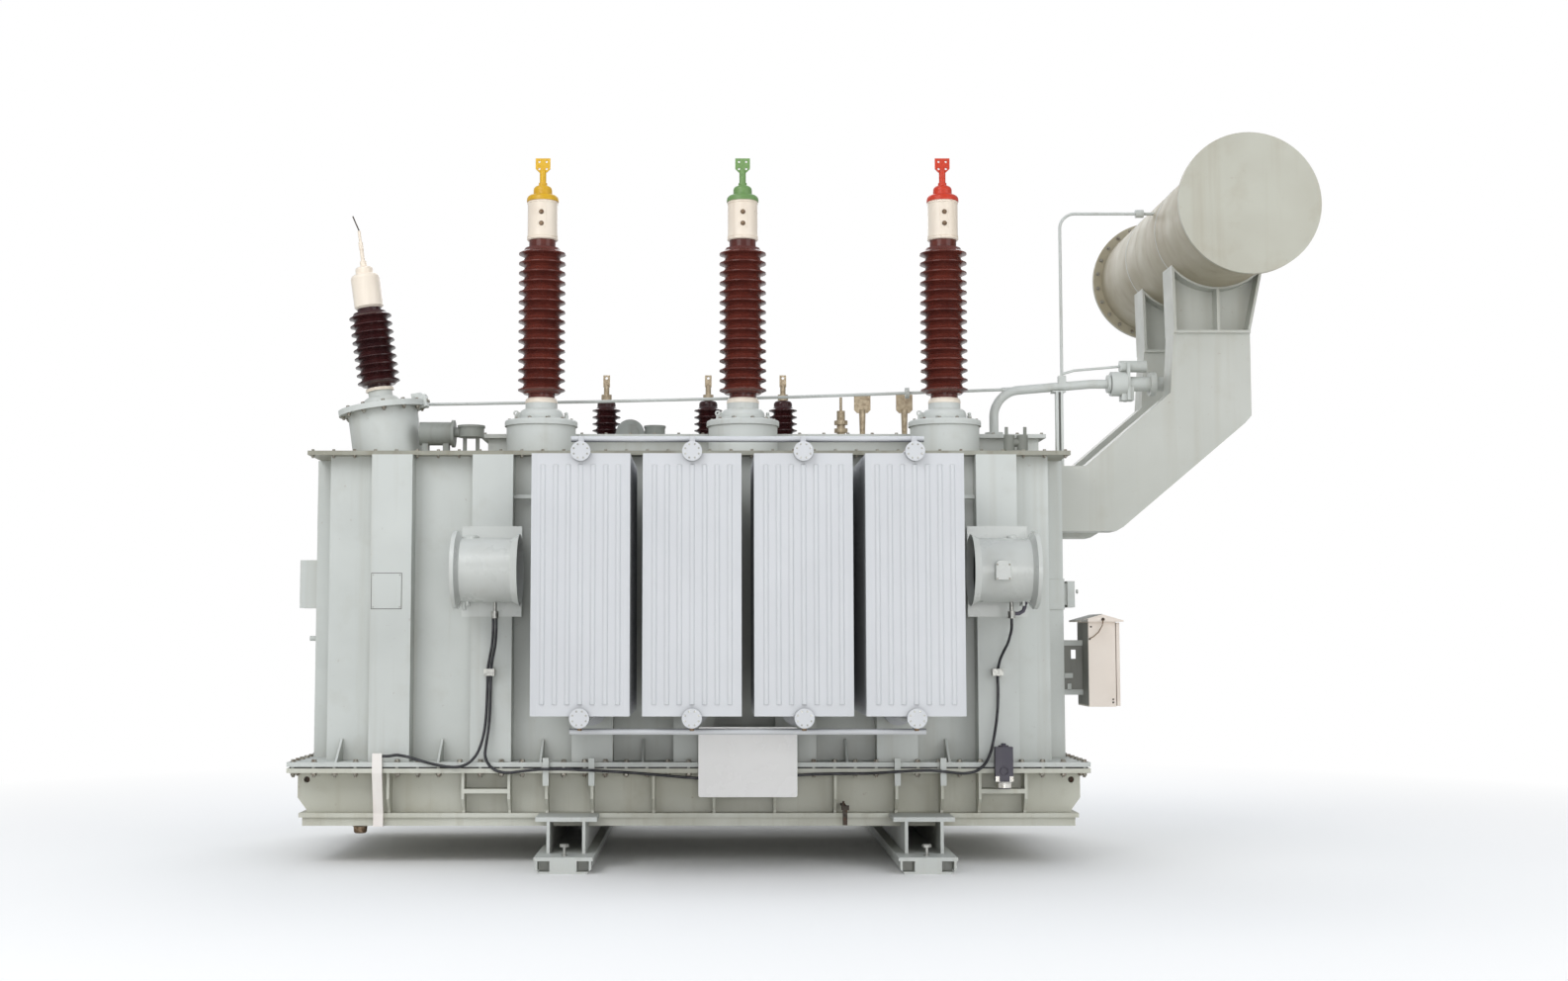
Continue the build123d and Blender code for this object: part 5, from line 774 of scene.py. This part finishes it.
def rim(left, right, front, rear, pitch):
    """Places round a level frame, each with its number and whether it is on a long side."""
    for index, x in enumerate(spread(left, right, pitch)):
        for y in (front, rear):
            yield x, y, index, True
    for index, y in enumerate(spread(front, rear, pitch)[1:-1]):
        for x in (left, right):
            yield x, y, index, False


def clear_of(value, places, room):
    """Whether a value keeps some room from every place in a list."""
    return all(abs(value - other) > room for other in places)


def ring_of(count, radius, centre, start=0.0, across=RIGHT, over=BACKWARD):
    """Points round a centre with their angles, counted from one direction towards another."""
    for step in range(count):
        angle = start + 2 * math.pi * step / count
        out = Vector(across) * math.cos(angle) + Vector(over) * math.sin(angle)
        yield Vector(centre) + out * radius, angle


def tank_flange_bolts():
    """Heads over the main flange and nuts under it, on all four sides."""
    heads = Shape()
    ribs = [bay - BAY_PITCH / 2 for bay in BAYS]
    end, front = FLANGE_END - BOLT_INSET, FLANGE_FRONT - BOLT_INSET
    for x, y, index, long_side in rim(-end, end, -front, front, BOLT_PITCH):
        turn = FLANGE_TURN * index
        if not long_side or clear_of(x, ribs, RIB_ROOM):
            heads.bolt(FLANGE_HEAD_R, (x, y, FLANGE_TOP), UP, turn)
        if not long_side or clear_of(x, GUSSETS, GUSSET_ROOM):
            heads.bolt(FLANGE_NUT_R, (x, y, FLANGE_BOTTOM), DOWN, turn, FLANGE_STUD)
    heads.piece("flange_bolts", BOLT)


def lid_bolts():
    """Small heads on the lid's rim, nuts below it, and heads along the raised frame."""
    heads = Shape()
    end, front = LID_END - LID_BOLT_INSET, LID_FRONT - LID_BOLT_INSET
    for x, y, index, long_side in rim(-end, end, -front, front, LID_BOLT_PITCH):
        turn = LID_TURN * index if long_side else index
        heads.bolt(LID_HEAD_R, (x, y, LID_TOP), UP, turn)
        if long_side and clear_of(x, BAYS, STIFFENER_HALF + LID_NUT_ROOM):
            heads.bolt(LID_NUT_R, (x, y, LID_BOTTOM), DOWN, turn, LID_STUD)
    for x, y, index, _ in rim(DECK_LEFT + DECK_INSET_X, DECK_RIGHT - DECK_INSET_X,
                              DECK_FRONT + DECK_INSET_Y, DECK_REAR - DECK_INSET_Y,
                              DECK_BOLT_PITCH):
        heads.bolt(LID_HEAD_R, (x, y, DECK_TOP), UP, index)
    heads.piece("lid_bolts", BOLT)


def tall_bushing_fittings():
    """Bolts, lifting eyes, vents, cream rings and brass screws of the three tall bushings."""
    bolts, heads, eyes, rings, screws = (Shape() for _ in range(5))
    up, left, back = Vector(UP), Vector(LEFT), Vector(BACKWARD)
    for x in PHASES:
        foot = Vector((x, PHASE_Y, TURRET_FLANGE_TOP))
        for point, angle in ring_of(12, TURRET_BOLT_CIRCLE, foot, 0.26):
            bolts.bolt(TURRET_BOLT_R, point, up, angle)
        for point, angle in ring_of(8, DOME_BOLT_CIRCLE, foot + up * DOME_RISE, 0.39):
            out = Vector((math.cos(angle), math.sin(angle), 0))
            heads.bolt(TURRET_BOLT_R, point, (up + out * DOME_TILT).normalized(), angle)
        fin = [foot + left * r + up * h - back * (FIN_THICK / 2) for r, h in FIN_OUTLINE]
        eyes.plate(fin, back * FIN_THICK)
        eyes.lathe(EYE_RING, foot + left * EYE_OUT + up * EYE_UP, back, 20)
        vent = foot - left * VENT_OUT
        eyes.rod(VENT_R, VENT_HEIGHT, vent + up * VENT_UP, up, 20, edge=3.0)
        eyes.lathe(VENT_CAP, vent + up * VENT_HEIGHT, up, 20)
        rings.lathe(FOOT_RING, (x, PHASE_Y, COLLAR_TOP), up, 48)
        rings.lathe(HEAD_RING, (x, PHASE_Y, PORCELAIN_TOP), up, 48)
        for level in BAND_LEVELS:
            rings.lathe(SLEEVE_BAND, (x, PHASE_Y, PORCELAIN_TOP + level), up, 48)
        for level in SCREW_LEVELS:
            z = PORCELAIN_TOP + level
            face = PHASE_Y - SLEEVE_R
            screws.rod(WASHER_R, WASHER_THICK, (x, face, z), FORWARD, 20, edge=1.0)
            screws.nut(SCREW_R, SCREW_HEIGHT, (x, face - WASHER_THICK, z), FORWARD, z)
    bolts.piece("turret_bolts", BOLT)
    heads.piece("turret_dome_bolts", ZINC, "galvanised")
    eyes.piece("turret_eyes", TANK, "tank_paint", edge=1.5)
    rings.piece("bushing_rings", CREAM, "cap_metal")
    screws.piece("sleeve_screws", BRASS)


def leaning(points_of):
    """Points given about the leaning bushing's own axis, in the tank's millimetres."""
    turn = Matrix.Rotation(math.radians(-NEUTRAL_LEAN), 4, "Y")
    move = Matrix.Translation((NEUTRAL_X, PHASE_Y, LID_TOP)) @ turn
    return [tuple(move @ Vector(point)) for point in points_of]


def neutral_fittings():
    """Flange bolts, pipe block and rings of the leaning bushing, and the bent wire on its rod."""
    bolts, block, ring, wire = Shape(), Shape(), Shape(), Shape()
    for point, angle in ring_of(12, NEUTRAL_BOLT_CIRCLE, (0, 0, NEUTRAL_FLANGE_TOP), 0.2):
        bolts.bolt(NEUTRAL_HEAD_R, point, UP, angle)
    for point, angle in ring_of(12, NEUTRAL_BOLT_CIRCLE, (0, 0, NEUTRAL_FLANGE_BOTTOM), 0.2):
        bolts.bolt(NEUTRAL_NUT_R, point, DOWN, angle, NEUTRAL_STUD)
    for point, angle in ring_of(6, NEUTRAL_COLLAR_CIRCLE, (0, 0, NEUTRAL_COLLAR_TOP), 0.5):
        bolts.bolt(TURRET_BOLT_R, point, UP, angle)
    block.box(*PIPE_BLOCK)
    block.box(*PIPE_BLOCK_CAP)
    for y in (-BLOCK_BOLT_Y, BLOCK_BOLT_Y):
        bolts.bolt(TURRET_BOLT_R, (PIPE_BLOCK[1][0], y, BLOCK_BOLT_Z), RIGHT, y)
    ring.lathe(NEUTRAL_FOOT_RING, (0, 0, NEUTRAL_FLANGE_TOP), UP, 48)
    ring.lathe(NEUTRAL_NECK_RING, (0, 0, NEUTRAL_NECK), UP, 48)
    wire.tube([(shift, 0, ROD_TIP + rise) for shift, rise in WIRE_BENDS], WIRE_R)
    for shape, name, material, slot in ((bolts, "neutral_bolts", BOLT, None),
                                        (block, "neutral_pipe_block", TANK, "tank_paint"),
                                        (wire, "neutral_wire", IRON, None),
                                        (ring, "neutral_rings", CREAM, "cap_metal")):
        shape.points = leaning(shape.points)
        shape.piece(name, material, slot, edge=3.0 if shape is block else 0.0)


def radiator_fittings():
    """Cover and flange bolts, lugs behind the upper covers, drain plugs and vents of radiators."""
    small, bolts, plugs, lugs = Shape(), Shape(), Shape(), Shape()
    half_step = math.pi / RIM_BOLTS
    for x in RADIATORS:
        for z in (HEADER_TOP, HEADER_LOW):
            for point, angle in ring_of(RIM_BOLTS, DISC_BOLT_CIRCLE, (x, -DISC_FACE, z), half_step,
                                        RIGHT, UP):
                small.bolt(DISC_BOLT_R, point, FORWARD, angle)
            for point, angle in ring_of(RIM_BOLTS, HEADER_BOLT_CIRCLE, (x, -HEADER_FLANGE, z),
                                        half_step, RIGHT, UP):
                bolts.bolt(HEADER_BOLT_R, point, FORWARD, angle)
        lugs.box((x - COOLER_LUG_HALF, COOLER_LUG_FRONT, HEADER_TOP + COOLER_LUG_FOOT),
                 (x + COOLER_LUG_HALF, COOLER_LUG_REAR, HEADER_TOP + COOLER_LUG_HEIGHT))
        drain_y, drain_z = DRAIN_INSET - DISC_FACE, HEADER_LOW - HEADER_R
        plugs.rod(DRAIN_R, DRAIN_LENGTH, (x, drain_y, drain_z), DOWN, 16, edge=2.0)
        plugs.nut(DRAIN_NUT_R, DRAIN_NUT_HEIGHT, (x, drain_y, drain_z - DRAIN_LENGTH), DOWN)
        plugs.nut(VENT_NUT_R, VENT_NUT_HEIGHT, (x, VENT_NUT_Y, HEADER_TOP + HEADER_R))
    small.mirrored().piece("radiator_cover_bolts", ZINC, "galvanised")
    lugs.mirrored().piece("radiator_lugs", RADIATOR, "radiator_paint", edge=4.0)
    bolts.mirrored().piece("radiator_flange_bolts", BOLT)
    plugs.mirrored().piece("radiator_plugs", BRASS)


def sign_board():
    """The bare white board in front of the flange, on two flat spacers."""
    board, bars = Shape(), Shape()
    outline = []
    right, left = BOARD_RIGHT - BOARD_CORNER_R, BOARD_LEFT + BOARD_CORNER_R
    top, bottom = BOARD_TOP - BOARD_CORNER_R, BOARD_BOTTOM + BOARD_CORNER_R
    for x, z, start in ((right, top, 0), (left, top, 90), (left, bottom, 180), (right, bottom, 270)):
        for step in range(5):
            angle = math.radians(start + 22.5 * step)
            outline.append((x + BOARD_CORNER_R * math.cos(angle), BOARD_FACE,
                            z + BOARD_CORNER_R * math.sin(angle)))
    board.plate(outline, (0, BOARD_THICK, 0))
    board.piece("sign_board", WHITE, "sign_white", edge=0.8)
    back = BOARD_FACE + BOARD_THICK
    for x in BAR_PLACES:
        bars.box((x - BAR_HALF, back, BAR_ARM_BOTTOM), (x + BAR_HALF, -FLANGE_FRONT, BAR_TOP))
        bars.box((x - BAR_HALF, back, BAR_BOTTOM), (x + BAR_HALF, back + BAR_THICK, BAR_TOP))
    bars.piece("sign_spacers", ZINC, "galvanised", edge=1.0)


def fan_fittings():
    """Dark linings, partly painted shade, round covers, feet, terminal box, stub and elbow of the fans.
    """
    lining, lugs, boxes, bolts, elbow = (Shape() for _ in range(5))
    under = FAN_Z - DUCT_R
    skin = LINING_R - LINING_THICK
    for x, way, cover_shift, cover_r in FANS:
        # Dark linings inside the ducts: partly the ducts' dark inner paint, partly painted shade
        lining.lathe([(LINING_R, -DUCT_HALF), (LINING_R, DUCT_HALF), (skin, DUCT_HALF),
                      (skin, -DUCT_HALF), (LINING_R, -DUCT_HALF)], (x, -FAN_Y, FAN_Z), (way, 0, 0), 64)
        lugs.lathe([(cover_r * share, level) for share, level in COVER_SHARES],
                   (x + cover_shift, -FAN_Y, FAN_Z + DUCT_R), UP, 32)
        for side in (-1, 1):
            lugs.rod(FAN_FOOT_R, FAN_FOOT_LENGTH,
                     (x - way * FAN_FOOT_BACK, -FAN_Y + FAN_FOOT_OUT * side, under + FAN_FOOT_SINK),
                     DOWN, 14, edge=2.0)
        mouth = (x - way * (DUCT_HALF + INTAKE_LENGTH / 2), -FAN_Y, FAN_Z)
        for point, angle in ring_of(12, INTAKE_BOLT_CIRCLE, mouth, math.pi / 12, BACKWARD, UP):
            bolts.bolt(INTAKE_BOLT_R, point, (way, 0, 0), angle)
    stub_x = FANS[0][0] - STUB_BACK
    lugs.rod(STUB_R, STUB_LENGTH, (stub_x, -FAN_Y, under + STUB_SINK), DOWN, 18, edge=3.0)
    lugs.nut(STUB_NUT_R, STUB_NUT_HEIGHT, (stub_x, -FAN_Y, under - STUB_NUT_DROP), DOWN)
    right_x = FANS[1][0]
    box_x, box_face = right_x + FAN_BOX_SHIFT, -FAN_Y - DUCT_R - FAN_BOX_OUT
    side = [(FAN_BOX_HALF * share, level) for share, level in FAN_BOX_SIDE_SHARES]
    outline = side + [(-across, level) for across, level in reversed(side)]
    boxes.plate([(box_x + across, box_face, FAN_Z + level) for across, level in outline],
                (0, FAN_BOX_DEPTH, 0))
    for across, level in FAN_BOX_SCREWS:
        bolts.bolt(FAN_BOX_SCREW_R, (box_x + across, box_face, FAN_Z + level), FORWARD, across)
    elbow.tube([(right_x + along, -FAN_Y, under + rise) for along, rise in ELBOW_BENDS], ELBOW_R, 14)
    elbow.nut(ELBOW_NUT_R, ELBOW_NUT_HEIGHT,
              (right_x + ELBOW_BENDS[0][0], -FAN_Y, under + ELBOW_NUT_SINK), DOWN)
    lining.mirrored().piece("fan_linings_dark_and_shaded", DARK, "rotor_dark")
    lugs.mirrored().piece("fan_lugs", FAN, "fan_paint")
    boxes.piece("fan_terminal_box", FAN, "fan_paint", edge=5.0)
    bolts.mirrored().piece("fan_bolts", BOLT)
    elbow.piece("fan_elbow", DARK_BOX, "dark_grey")


def conservator_fittings():
    """Nuts behind both covers of the drum, heads on the far one, and its weld seams."""
    bolts, seams = Shape(), Shape()
    places = ((DRUM_HALF - DRUM_RIM, FORWARD, DRUM_STUD), (DRUM_HALF, BACKWARD, 0.0),
              (DRUM_RIM - DRUM_HALF, BACKWARD, DRUM_STUD))
    for point, angle in ring_of(DRUM_BOLTS, DRUM_BOLT_CIRCLE, (DRUM_X, 0, DRUM_Z),
                                math.pi / DRUM_BOLTS, RIGHT, UP):
        for y, way, stud in places:
            bolts.bolt(DRUM_BOLT_R, (point.x, y, point.z), way, angle, stud)
    for y in SEAM_PLACES:
        seams.lathe(SEAM_OUTLINE, (DRUM_X, y, DRUM_Z), BACKWARD, 96)
    bolts.piece("conservator_bolts", BOLT)
    seams.piece("conservator_seams", TANK, "tank_paint")


def base_fittings():
    """Drain plug, earth bar, jacking bolts, bare plates, backs of the corner holes, and a rim of painted
    shadow behind the bare plate at the front left.
    """
    plug, iron, jacks, plates, backs = (Shape() for _ in range(5))
    plug.lathe(PLUG_HEAD, PLUG_PLACE, UP, 6, turn=0.3)
    plug.lathe(PLUG_STEM, PLUG_PLACE, UP, 24)
    for low, high in EARTH_BAR:
        iron.box(low, high)
    iron.bolt(EARTH_BOLT_R, EARTH_BOLT, UP, turn=0.2, stud=EARTH_STUD)
    for x in (SKID_MIDDLE - SKID_REACH, SKID_MIDDLE + SKID_REACH):
        for y in (-JACK_Y, JACK_Y):
            jacks.rod(JACK_R, JACK_LENGTH, (x, y, JACK_FOOT), UP, 16)
            jacks.nut(JACK_NUT_R, JACK_NUT_HEIGHT, (x, y, JACK_NUT_FOOT), UP, 0.1)
            jacks.rod(JACK_COLLAR_R, JACK_COLLAR_HEIGHT, (x, y, JACK_FOOT), UP, 20, edge=1.0)
    for x in (-LUG_HOLE_X, LUG_HOLE_X):
        backs.rod(LUG_BACK_R, LUG_BACK_THICK, (x, -LUG_BACK, LUG_HOLE_Z), BACKWARD, 28, edge=1.0)
        backs.rod(LUG_BACK_R, LUG_BACK_THICK, (x, LUG_BACK, LUG_HOLE_Z), FORWARD, 28, edge=1.0)
    # A thin dark iron sheet a little larger than the bare plate lies behind it: a rim of painted shadow
    # round the plate
    face = -STIFFENER_FRONT - PLATE_BACK
    backs.box((PLATE_LEFT - PLATE_SHADOW_MARGIN, face, PLATE_BOTTOM - PLATE_SHADOW_MARGIN),
              (PLATE_RIGHT + PLATE_SHADOW_MARGIN, -STIFFENER_FRONT, PLATE_TOP + PLATE_SHADOW_MARGIN))
    plates.box((PLATE_LEFT, face - PLATE_THICK, PLATE_BOTTOM), (PLATE_RIGHT, face, PLATE_TOP))
    for x in (PLATE_LEFT + PLATE_SCREW_INSET, PLATE_RIGHT - PLATE_SCREW_INSET):
        for z in (PLATE_BOTTOM + PLATE_SCREW_INSET, PLATE_TOP - PLATE_SCREW_INSET):
            jacks.rod(PLATE_SCREW_R, PLATE_SCREW_HEIGHT, (x, face - PLATE_THICK, z), FORWARD, 14,
                      edge=0.6)
    for left, right in LEDGES:
        plates.box((left, LEDGE_FRONT, LEDGE_BOTTOM), (right, LEDGE_REAR, LEDGE_TOP))
    plug.piece("drain_plug", BRASS)
    iron.piece("earth_bar", IRON, edge=1.5)
    backs.piece("corner_hole_backs_and_plate_shadow", IRON)
    jacks.piece("jacking_bolts", ZINC, "galvanised")
    plates.piece("bare_plates", TANK, "tank_paint", edge=1.0)


def gasket_spacers():
    """Light distance pieces in the dark gasket line, one at each flange bolt."""
    lights = Shape()
    end, front = FLANGE_END - BOLT_INSET, FLANGE_FRONT - BOLT_INSET
    outer = GASKET_INSET - SPACER_PROUD
    inner = outer + SPACER_DEPTH
    low, high = GASKET_BOTTOM + SPACER_LOW, GASKET_BOTTOM + SPACER_HIGH
    for x, y, _, long_side in rim(-end, end, -front, front, BOLT_PITCH):
        if long_side:
            side = math.copysign(1.0, y)
            near, far = sorted((side * (FLANGE_FRONT - outer), side * (FLANGE_FRONT - inner)))
            lights.box((x - SPACER_HALF, near, low), (x + SPACER_HALF, far, high))
        else:
            side = math.copysign(1.0, x)
            near, far = sorted((side * (FLANGE_END - outer), side * (FLANGE_END - inner)))
            lights.box((near, y - SPACER_HALF, low), (far, y + SPACER_HALF, high))
    lights.piece("gasket_spacers", TANK, "tank_paint")


def cabinet_fittings():
    """Sheets of painted shade on the cabinet's roof slope, left side and gable corner, its dark bracket,
    screws and earth wire, and the plates on its bracket and boxes.
    """
    dark, screws, wire, plates = Shape(), Shape(), Shape(), Shape()
    left, right = CABINET_LEFT, CABINET_LEFT + CABINET_DEPTH
    front, rear = CABINET_Y - CABINET_WIDTH / 2, CABINET_Y + CABINET_WIDTH / 2
    middle = (left + right) / 2
    gable = front - ROOF_OVER / 2
    eave = CABINET_TOP + ROOF_EAVE
    run = Vector((middle - left + ROOF_OVER, 0, ROOF_RISE - ROOF_EAVE))
    out = Vector((-run.z, 0, run.x)).normalized() * SHADE_SHEET
    # Sheets of painted shade: one on the roof's left slope, one on the left side, one at the gable's left
    # corner
    foot = Vector((left - ROOF_OVER, gable, eave))
    dark.plate([foot, foot + run, foot + run + out, foot + out], (0, CABINET_WIDTH + ROOF_OVER, 0))
    dark.box((left - SHADE_SHEET, front + SIDE_INSET, CABINET_BOTTOM + SIDE_LIFT),
             (left, rear - SIDE_INSET, CABINET_TOP - SIDE_INSET))
    for x, z in CABINET_SCREWS:
        screws.bolt(CABINET_SCREW_R, (x, front, z), FORWARD, x)
    screws.bolt(GABLE_BOLT_R, (middle + GABLE_BOLT_X, gable, CABINET_TOP + GABLE_BOLT_UP), FORWARD,
                turn=0.3, stud=GABLE_STUD)
    wire.tube([(middle + across, front + depth, CABINET_TOP + rise)
               for across, depth, rise in EARTH_WIRE_BENDS], EARTH_WIRE_R)
    screws.bolt(WIRE_SCREW_R, (left + WIRE_SCREW_X, front, CABINET_TOP - WIRE_SCREW_DROP), FORWARD,
                turn=0.5)
    corner = [(left - ROOF_OVER, gable, CABINET_TOP), (left - SIDE_INSET, gable, CABINET_TOP),
              (left - SIDE_INSET, gable, eave + GABLE_LIFT), (left - ROOF_OVER, gable, eave)]
    dark.plate(corner, (0, -GABLE_SHEET, 0))
    far, near = left - SLOT_FAR, left - SLOT_NEAR
    for x0, x1, z0, z1 in ((left - BRACKET_REACH, far, BRACKET_LOW, BRACKET_HIGH),
                           (near, left, BRACKET_LOW, BRACKET_HIGH),
                           (far, near, BRACKET_LOW, SLOT_LOW), (far, near, SLOT_HIGH, BRACKET_HIGH)):
        dark.box((x0, BRACKET_Y, z0), (x1, BRACKET_Y + BRACKET_THICK, z1))
    for low, high in BRACKET_PLATES:
        plates.box(low, high)
    plates.box(*END_PLATE)
    plates.rod(END_PLUG_R, END_PLUG_LENGTH, END_PLUG, RIGHT, 20, edge=3.0)
    dark.piece("cabinet_shade_sheets_and_bracket", CABINET_SHADE_AND_BRACKET, edge=0.6)
    screws.piece("cabinet_screws", IRON)
    wire.piece("cabinet_earth_wire", BRASS)
    plates.piece("cabinet_bracket_plates", TANK, "tank_paint", edge=1.0)


def dryer_fittings():
    """Bright cup sleeve and straps, filler cap and sight ring of the air dryer."""
    cup, parts = Shape(), Shape()
    cup.lathe(CUP_OUTLINE, (DRYER_X, DRYER_Y, DRYER_BOTTOM), UP, 40)
    parts.rod(FILLER_R, FILLER_HEIGHT, (DRYER_X, DRYER_Y, DRYER_TOP), UP, 28, edge=3.0)
    parts.nut(FILLER_NUT_R, FILLER_NUT_HEIGHT, (DRYER_X, DRYER_Y, DRYER_TOP + FILLER_HEIGHT), UP)
    parts.lathe(SIGHT_RING, (DRYER_X, DRYER_FACE, DRYER_BOTTOM + SIGHT_UP), FORWARD, 32)
    for shift in (-DRYER_SIDE, DRYER_SIDE):
        x = DRYER_X + shift
        parts.bolt(DRYER_BOLT_R, (x, DRYER_FACE, DRYER_BOTTOM + DRYER_BOLT_UP), FORWARD, shift)
        cup.box((x - STRAP_HALF, STRAP_FRONT, DRYER_BOTTOM),
                (x + STRAP_HALF, STRAP_REAR, DRYER_BOTTOM + STRAP_HEIGHT))
    cup.piece("dryer_cup_sleeve", SILVER)
    parts.piece("dryer_fittings", DARK_BOX, "dark_grey")


def lay_floor():
    """White floor that keeps the shadow and fades into the world far out."""
    mesh = bpy.data.meshes.new("floor")
    corners = [(x * FLOOR_HALF, y * FLOOR_HALF, 0) for x, y in ((-1, -1), (1, -1), (1, 1), (-1, 1))]
    mesh.from_pydata(corners, [], [(0, 1, 2, 3)])
    floor = bpy.data.objects.new("floor", mesh)
    bpy.context.scene.collection.objects.link(floor)
    made = Nodes("floor_paint")
    rays = made.add("ShaderNodeLightPath")
    seen = made.add("ShaderNodeMath", operation="MAXIMUM")
    made.join(rays.outputs["Is Camera Ray"], seen.inputs[0])
    made.join(rays.outputs["Is Glossy Ray"], seen.inputs[1])
    tone = made.mix(seen.outputs[0], (212, 211, 206), (255, 255, 255))
    made.join(tone, made.shader.inputs["Base Color"])
    made.set(Roughness=0.9, Specular_IOR_Level=0.0)
    glow = made.add("ShaderNodeEmission")
    reach = made.add("ShaderNodeVectorMath", operation="LENGTH")
    made.join(made.where, reach.inputs[0])
    far = made.ramp(reach.outputs["Value"], FADE_START, FADE_END)
    share = made.times(far, seen.outputs[0])
    blend = made.add("ShaderNodeMixShader")
    made.join(share, blend.inputs["Fac"])
    made.join(made.shader.outputs["BSDF"], blend.inputs[1])
    made.join(glow.outputs["Emission"], blend.inputs[2])
    made.join(blend.outputs["Shader"], made.tree.nodes["Material Output"].inputs["Surface"])
    mesh.materials.append(made.material)


def light_world():
    """Pale world that lights from above a little more than from below, and is seen as white."""
    world = bpy.data.worlds.new("studio")
    bpy.context.scene.world = world
    world.use_nodes = True
    world.node_tree.nodes.clear()
    add, join = world.node_tree.nodes.new, world.node_tree.links.new
    out = add("ShaderNodeOutputWorld")
    rays = add("ShaderNodeLightPath")
    geometry = add("ShaderNodeTexCoord")
    split = add("ShaderNodeSeparateXYZ")
    join(geometry.outputs["Generated"], split.inputs["Vector"])
    sky = add("ShaderNodeValToRGB")
    sky.color_ramp.elements[0].color = (0.62, 0.62, 0.62, 1.0)
    sky.color_ramp.elements[1].color = (0.94, 0.98, 1.03, 1.0)
    rise = add("ShaderNodeMapRange")
    rise.inputs["From Min"].default_value = -0.4
    rise.inputs["From Max"].default_value = 0.9
    join(split.outputs["Z"], rise.inputs["Value"])
    join(rise.outputs["Result"], sky.inputs["Fac"])
    light = add("ShaderNodeBackground")
    light.inputs["Strength"].default_value = WORLD_STRENGTH
    join(sky.outputs["Color"], light.inputs["Color"])
    white = add("ShaderNodeBackground")
    white.inputs["Color"].default_value = (1.0, 1.0, 1.0, 1.0)
    seen = add("ShaderNodeMath")
    seen.operation = "MAXIMUM"
    join(rays.outputs["Is Camera Ray"], seen.inputs[0])
    join(rays.outputs["Is Transmission Ray"], seen.inputs[1])
    mixed = add("ShaderNodeMixShader")
    join(seen.outputs[0], mixed.inputs["Fac"])
    join(light.outputs["Background"], mixed.inputs[1])
    join(white.outputs["Background"], mixed.inputs[2])
    join(mixed.outputs["Shader"], out.inputs["Surface"])


def hang_lamps():
    """Large soft lamps that all aim at the middle of the tank."""
    for name, spot, size, energy in LAMPS:
        lamp = bpy.data.lights.new(name, "AREA")
        lamp.size = size
        lamp.energy = energy
        made = bpy.data.objects.new(name, lamp)
        made.location = spot
        aim = Vector(LAMP_AIM) - Vector(spot)
        made.rotation_euler = aim.to_track_quat("-Z", "Y").to_euler()
        bpy.context.scene.collection.objects.link(made)


def set_camera():
    """Camera at the place, pitch, lens and shift found for the photograph."""
    camera = bpy.data.cameras.new("camera")
    camera.lens = CAMERA_LENS
    camera.sensor_width = 36.0
    camera.sensor_fit = "HORIZONTAL"
    camera.shift_x = CAMERA_SHIFT
    camera.clip_start = 0.1
    camera.clip_end = 200.0
    made = bpy.data.objects.new("camera", camera)
    made.location = place((CAMERA_X, CAMERA_Y, CAMERA_Z))
    made.rotation_euler = (math.radians(CAMERA_PITCH), 0.0, 0.0)
    bpy.context.scene.collection.objects.link(made)
    bpy.context.scene.camera = made
    bpy.context.scene.view_settings.view_transform = "Standard"


lay_floor()
light_world()
hang_lamps()
set_camera()
dress_nodes()
tank_flange_bolts()
lid_bolts()
tall_bushing_fittings()
neutral_fittings()
radiator_fittings()
sign_board()
fan_fittings()
conservator_fittings()
base_fittings()
gasket_spacers()
cabinet_fittings()
dryer_fittings()
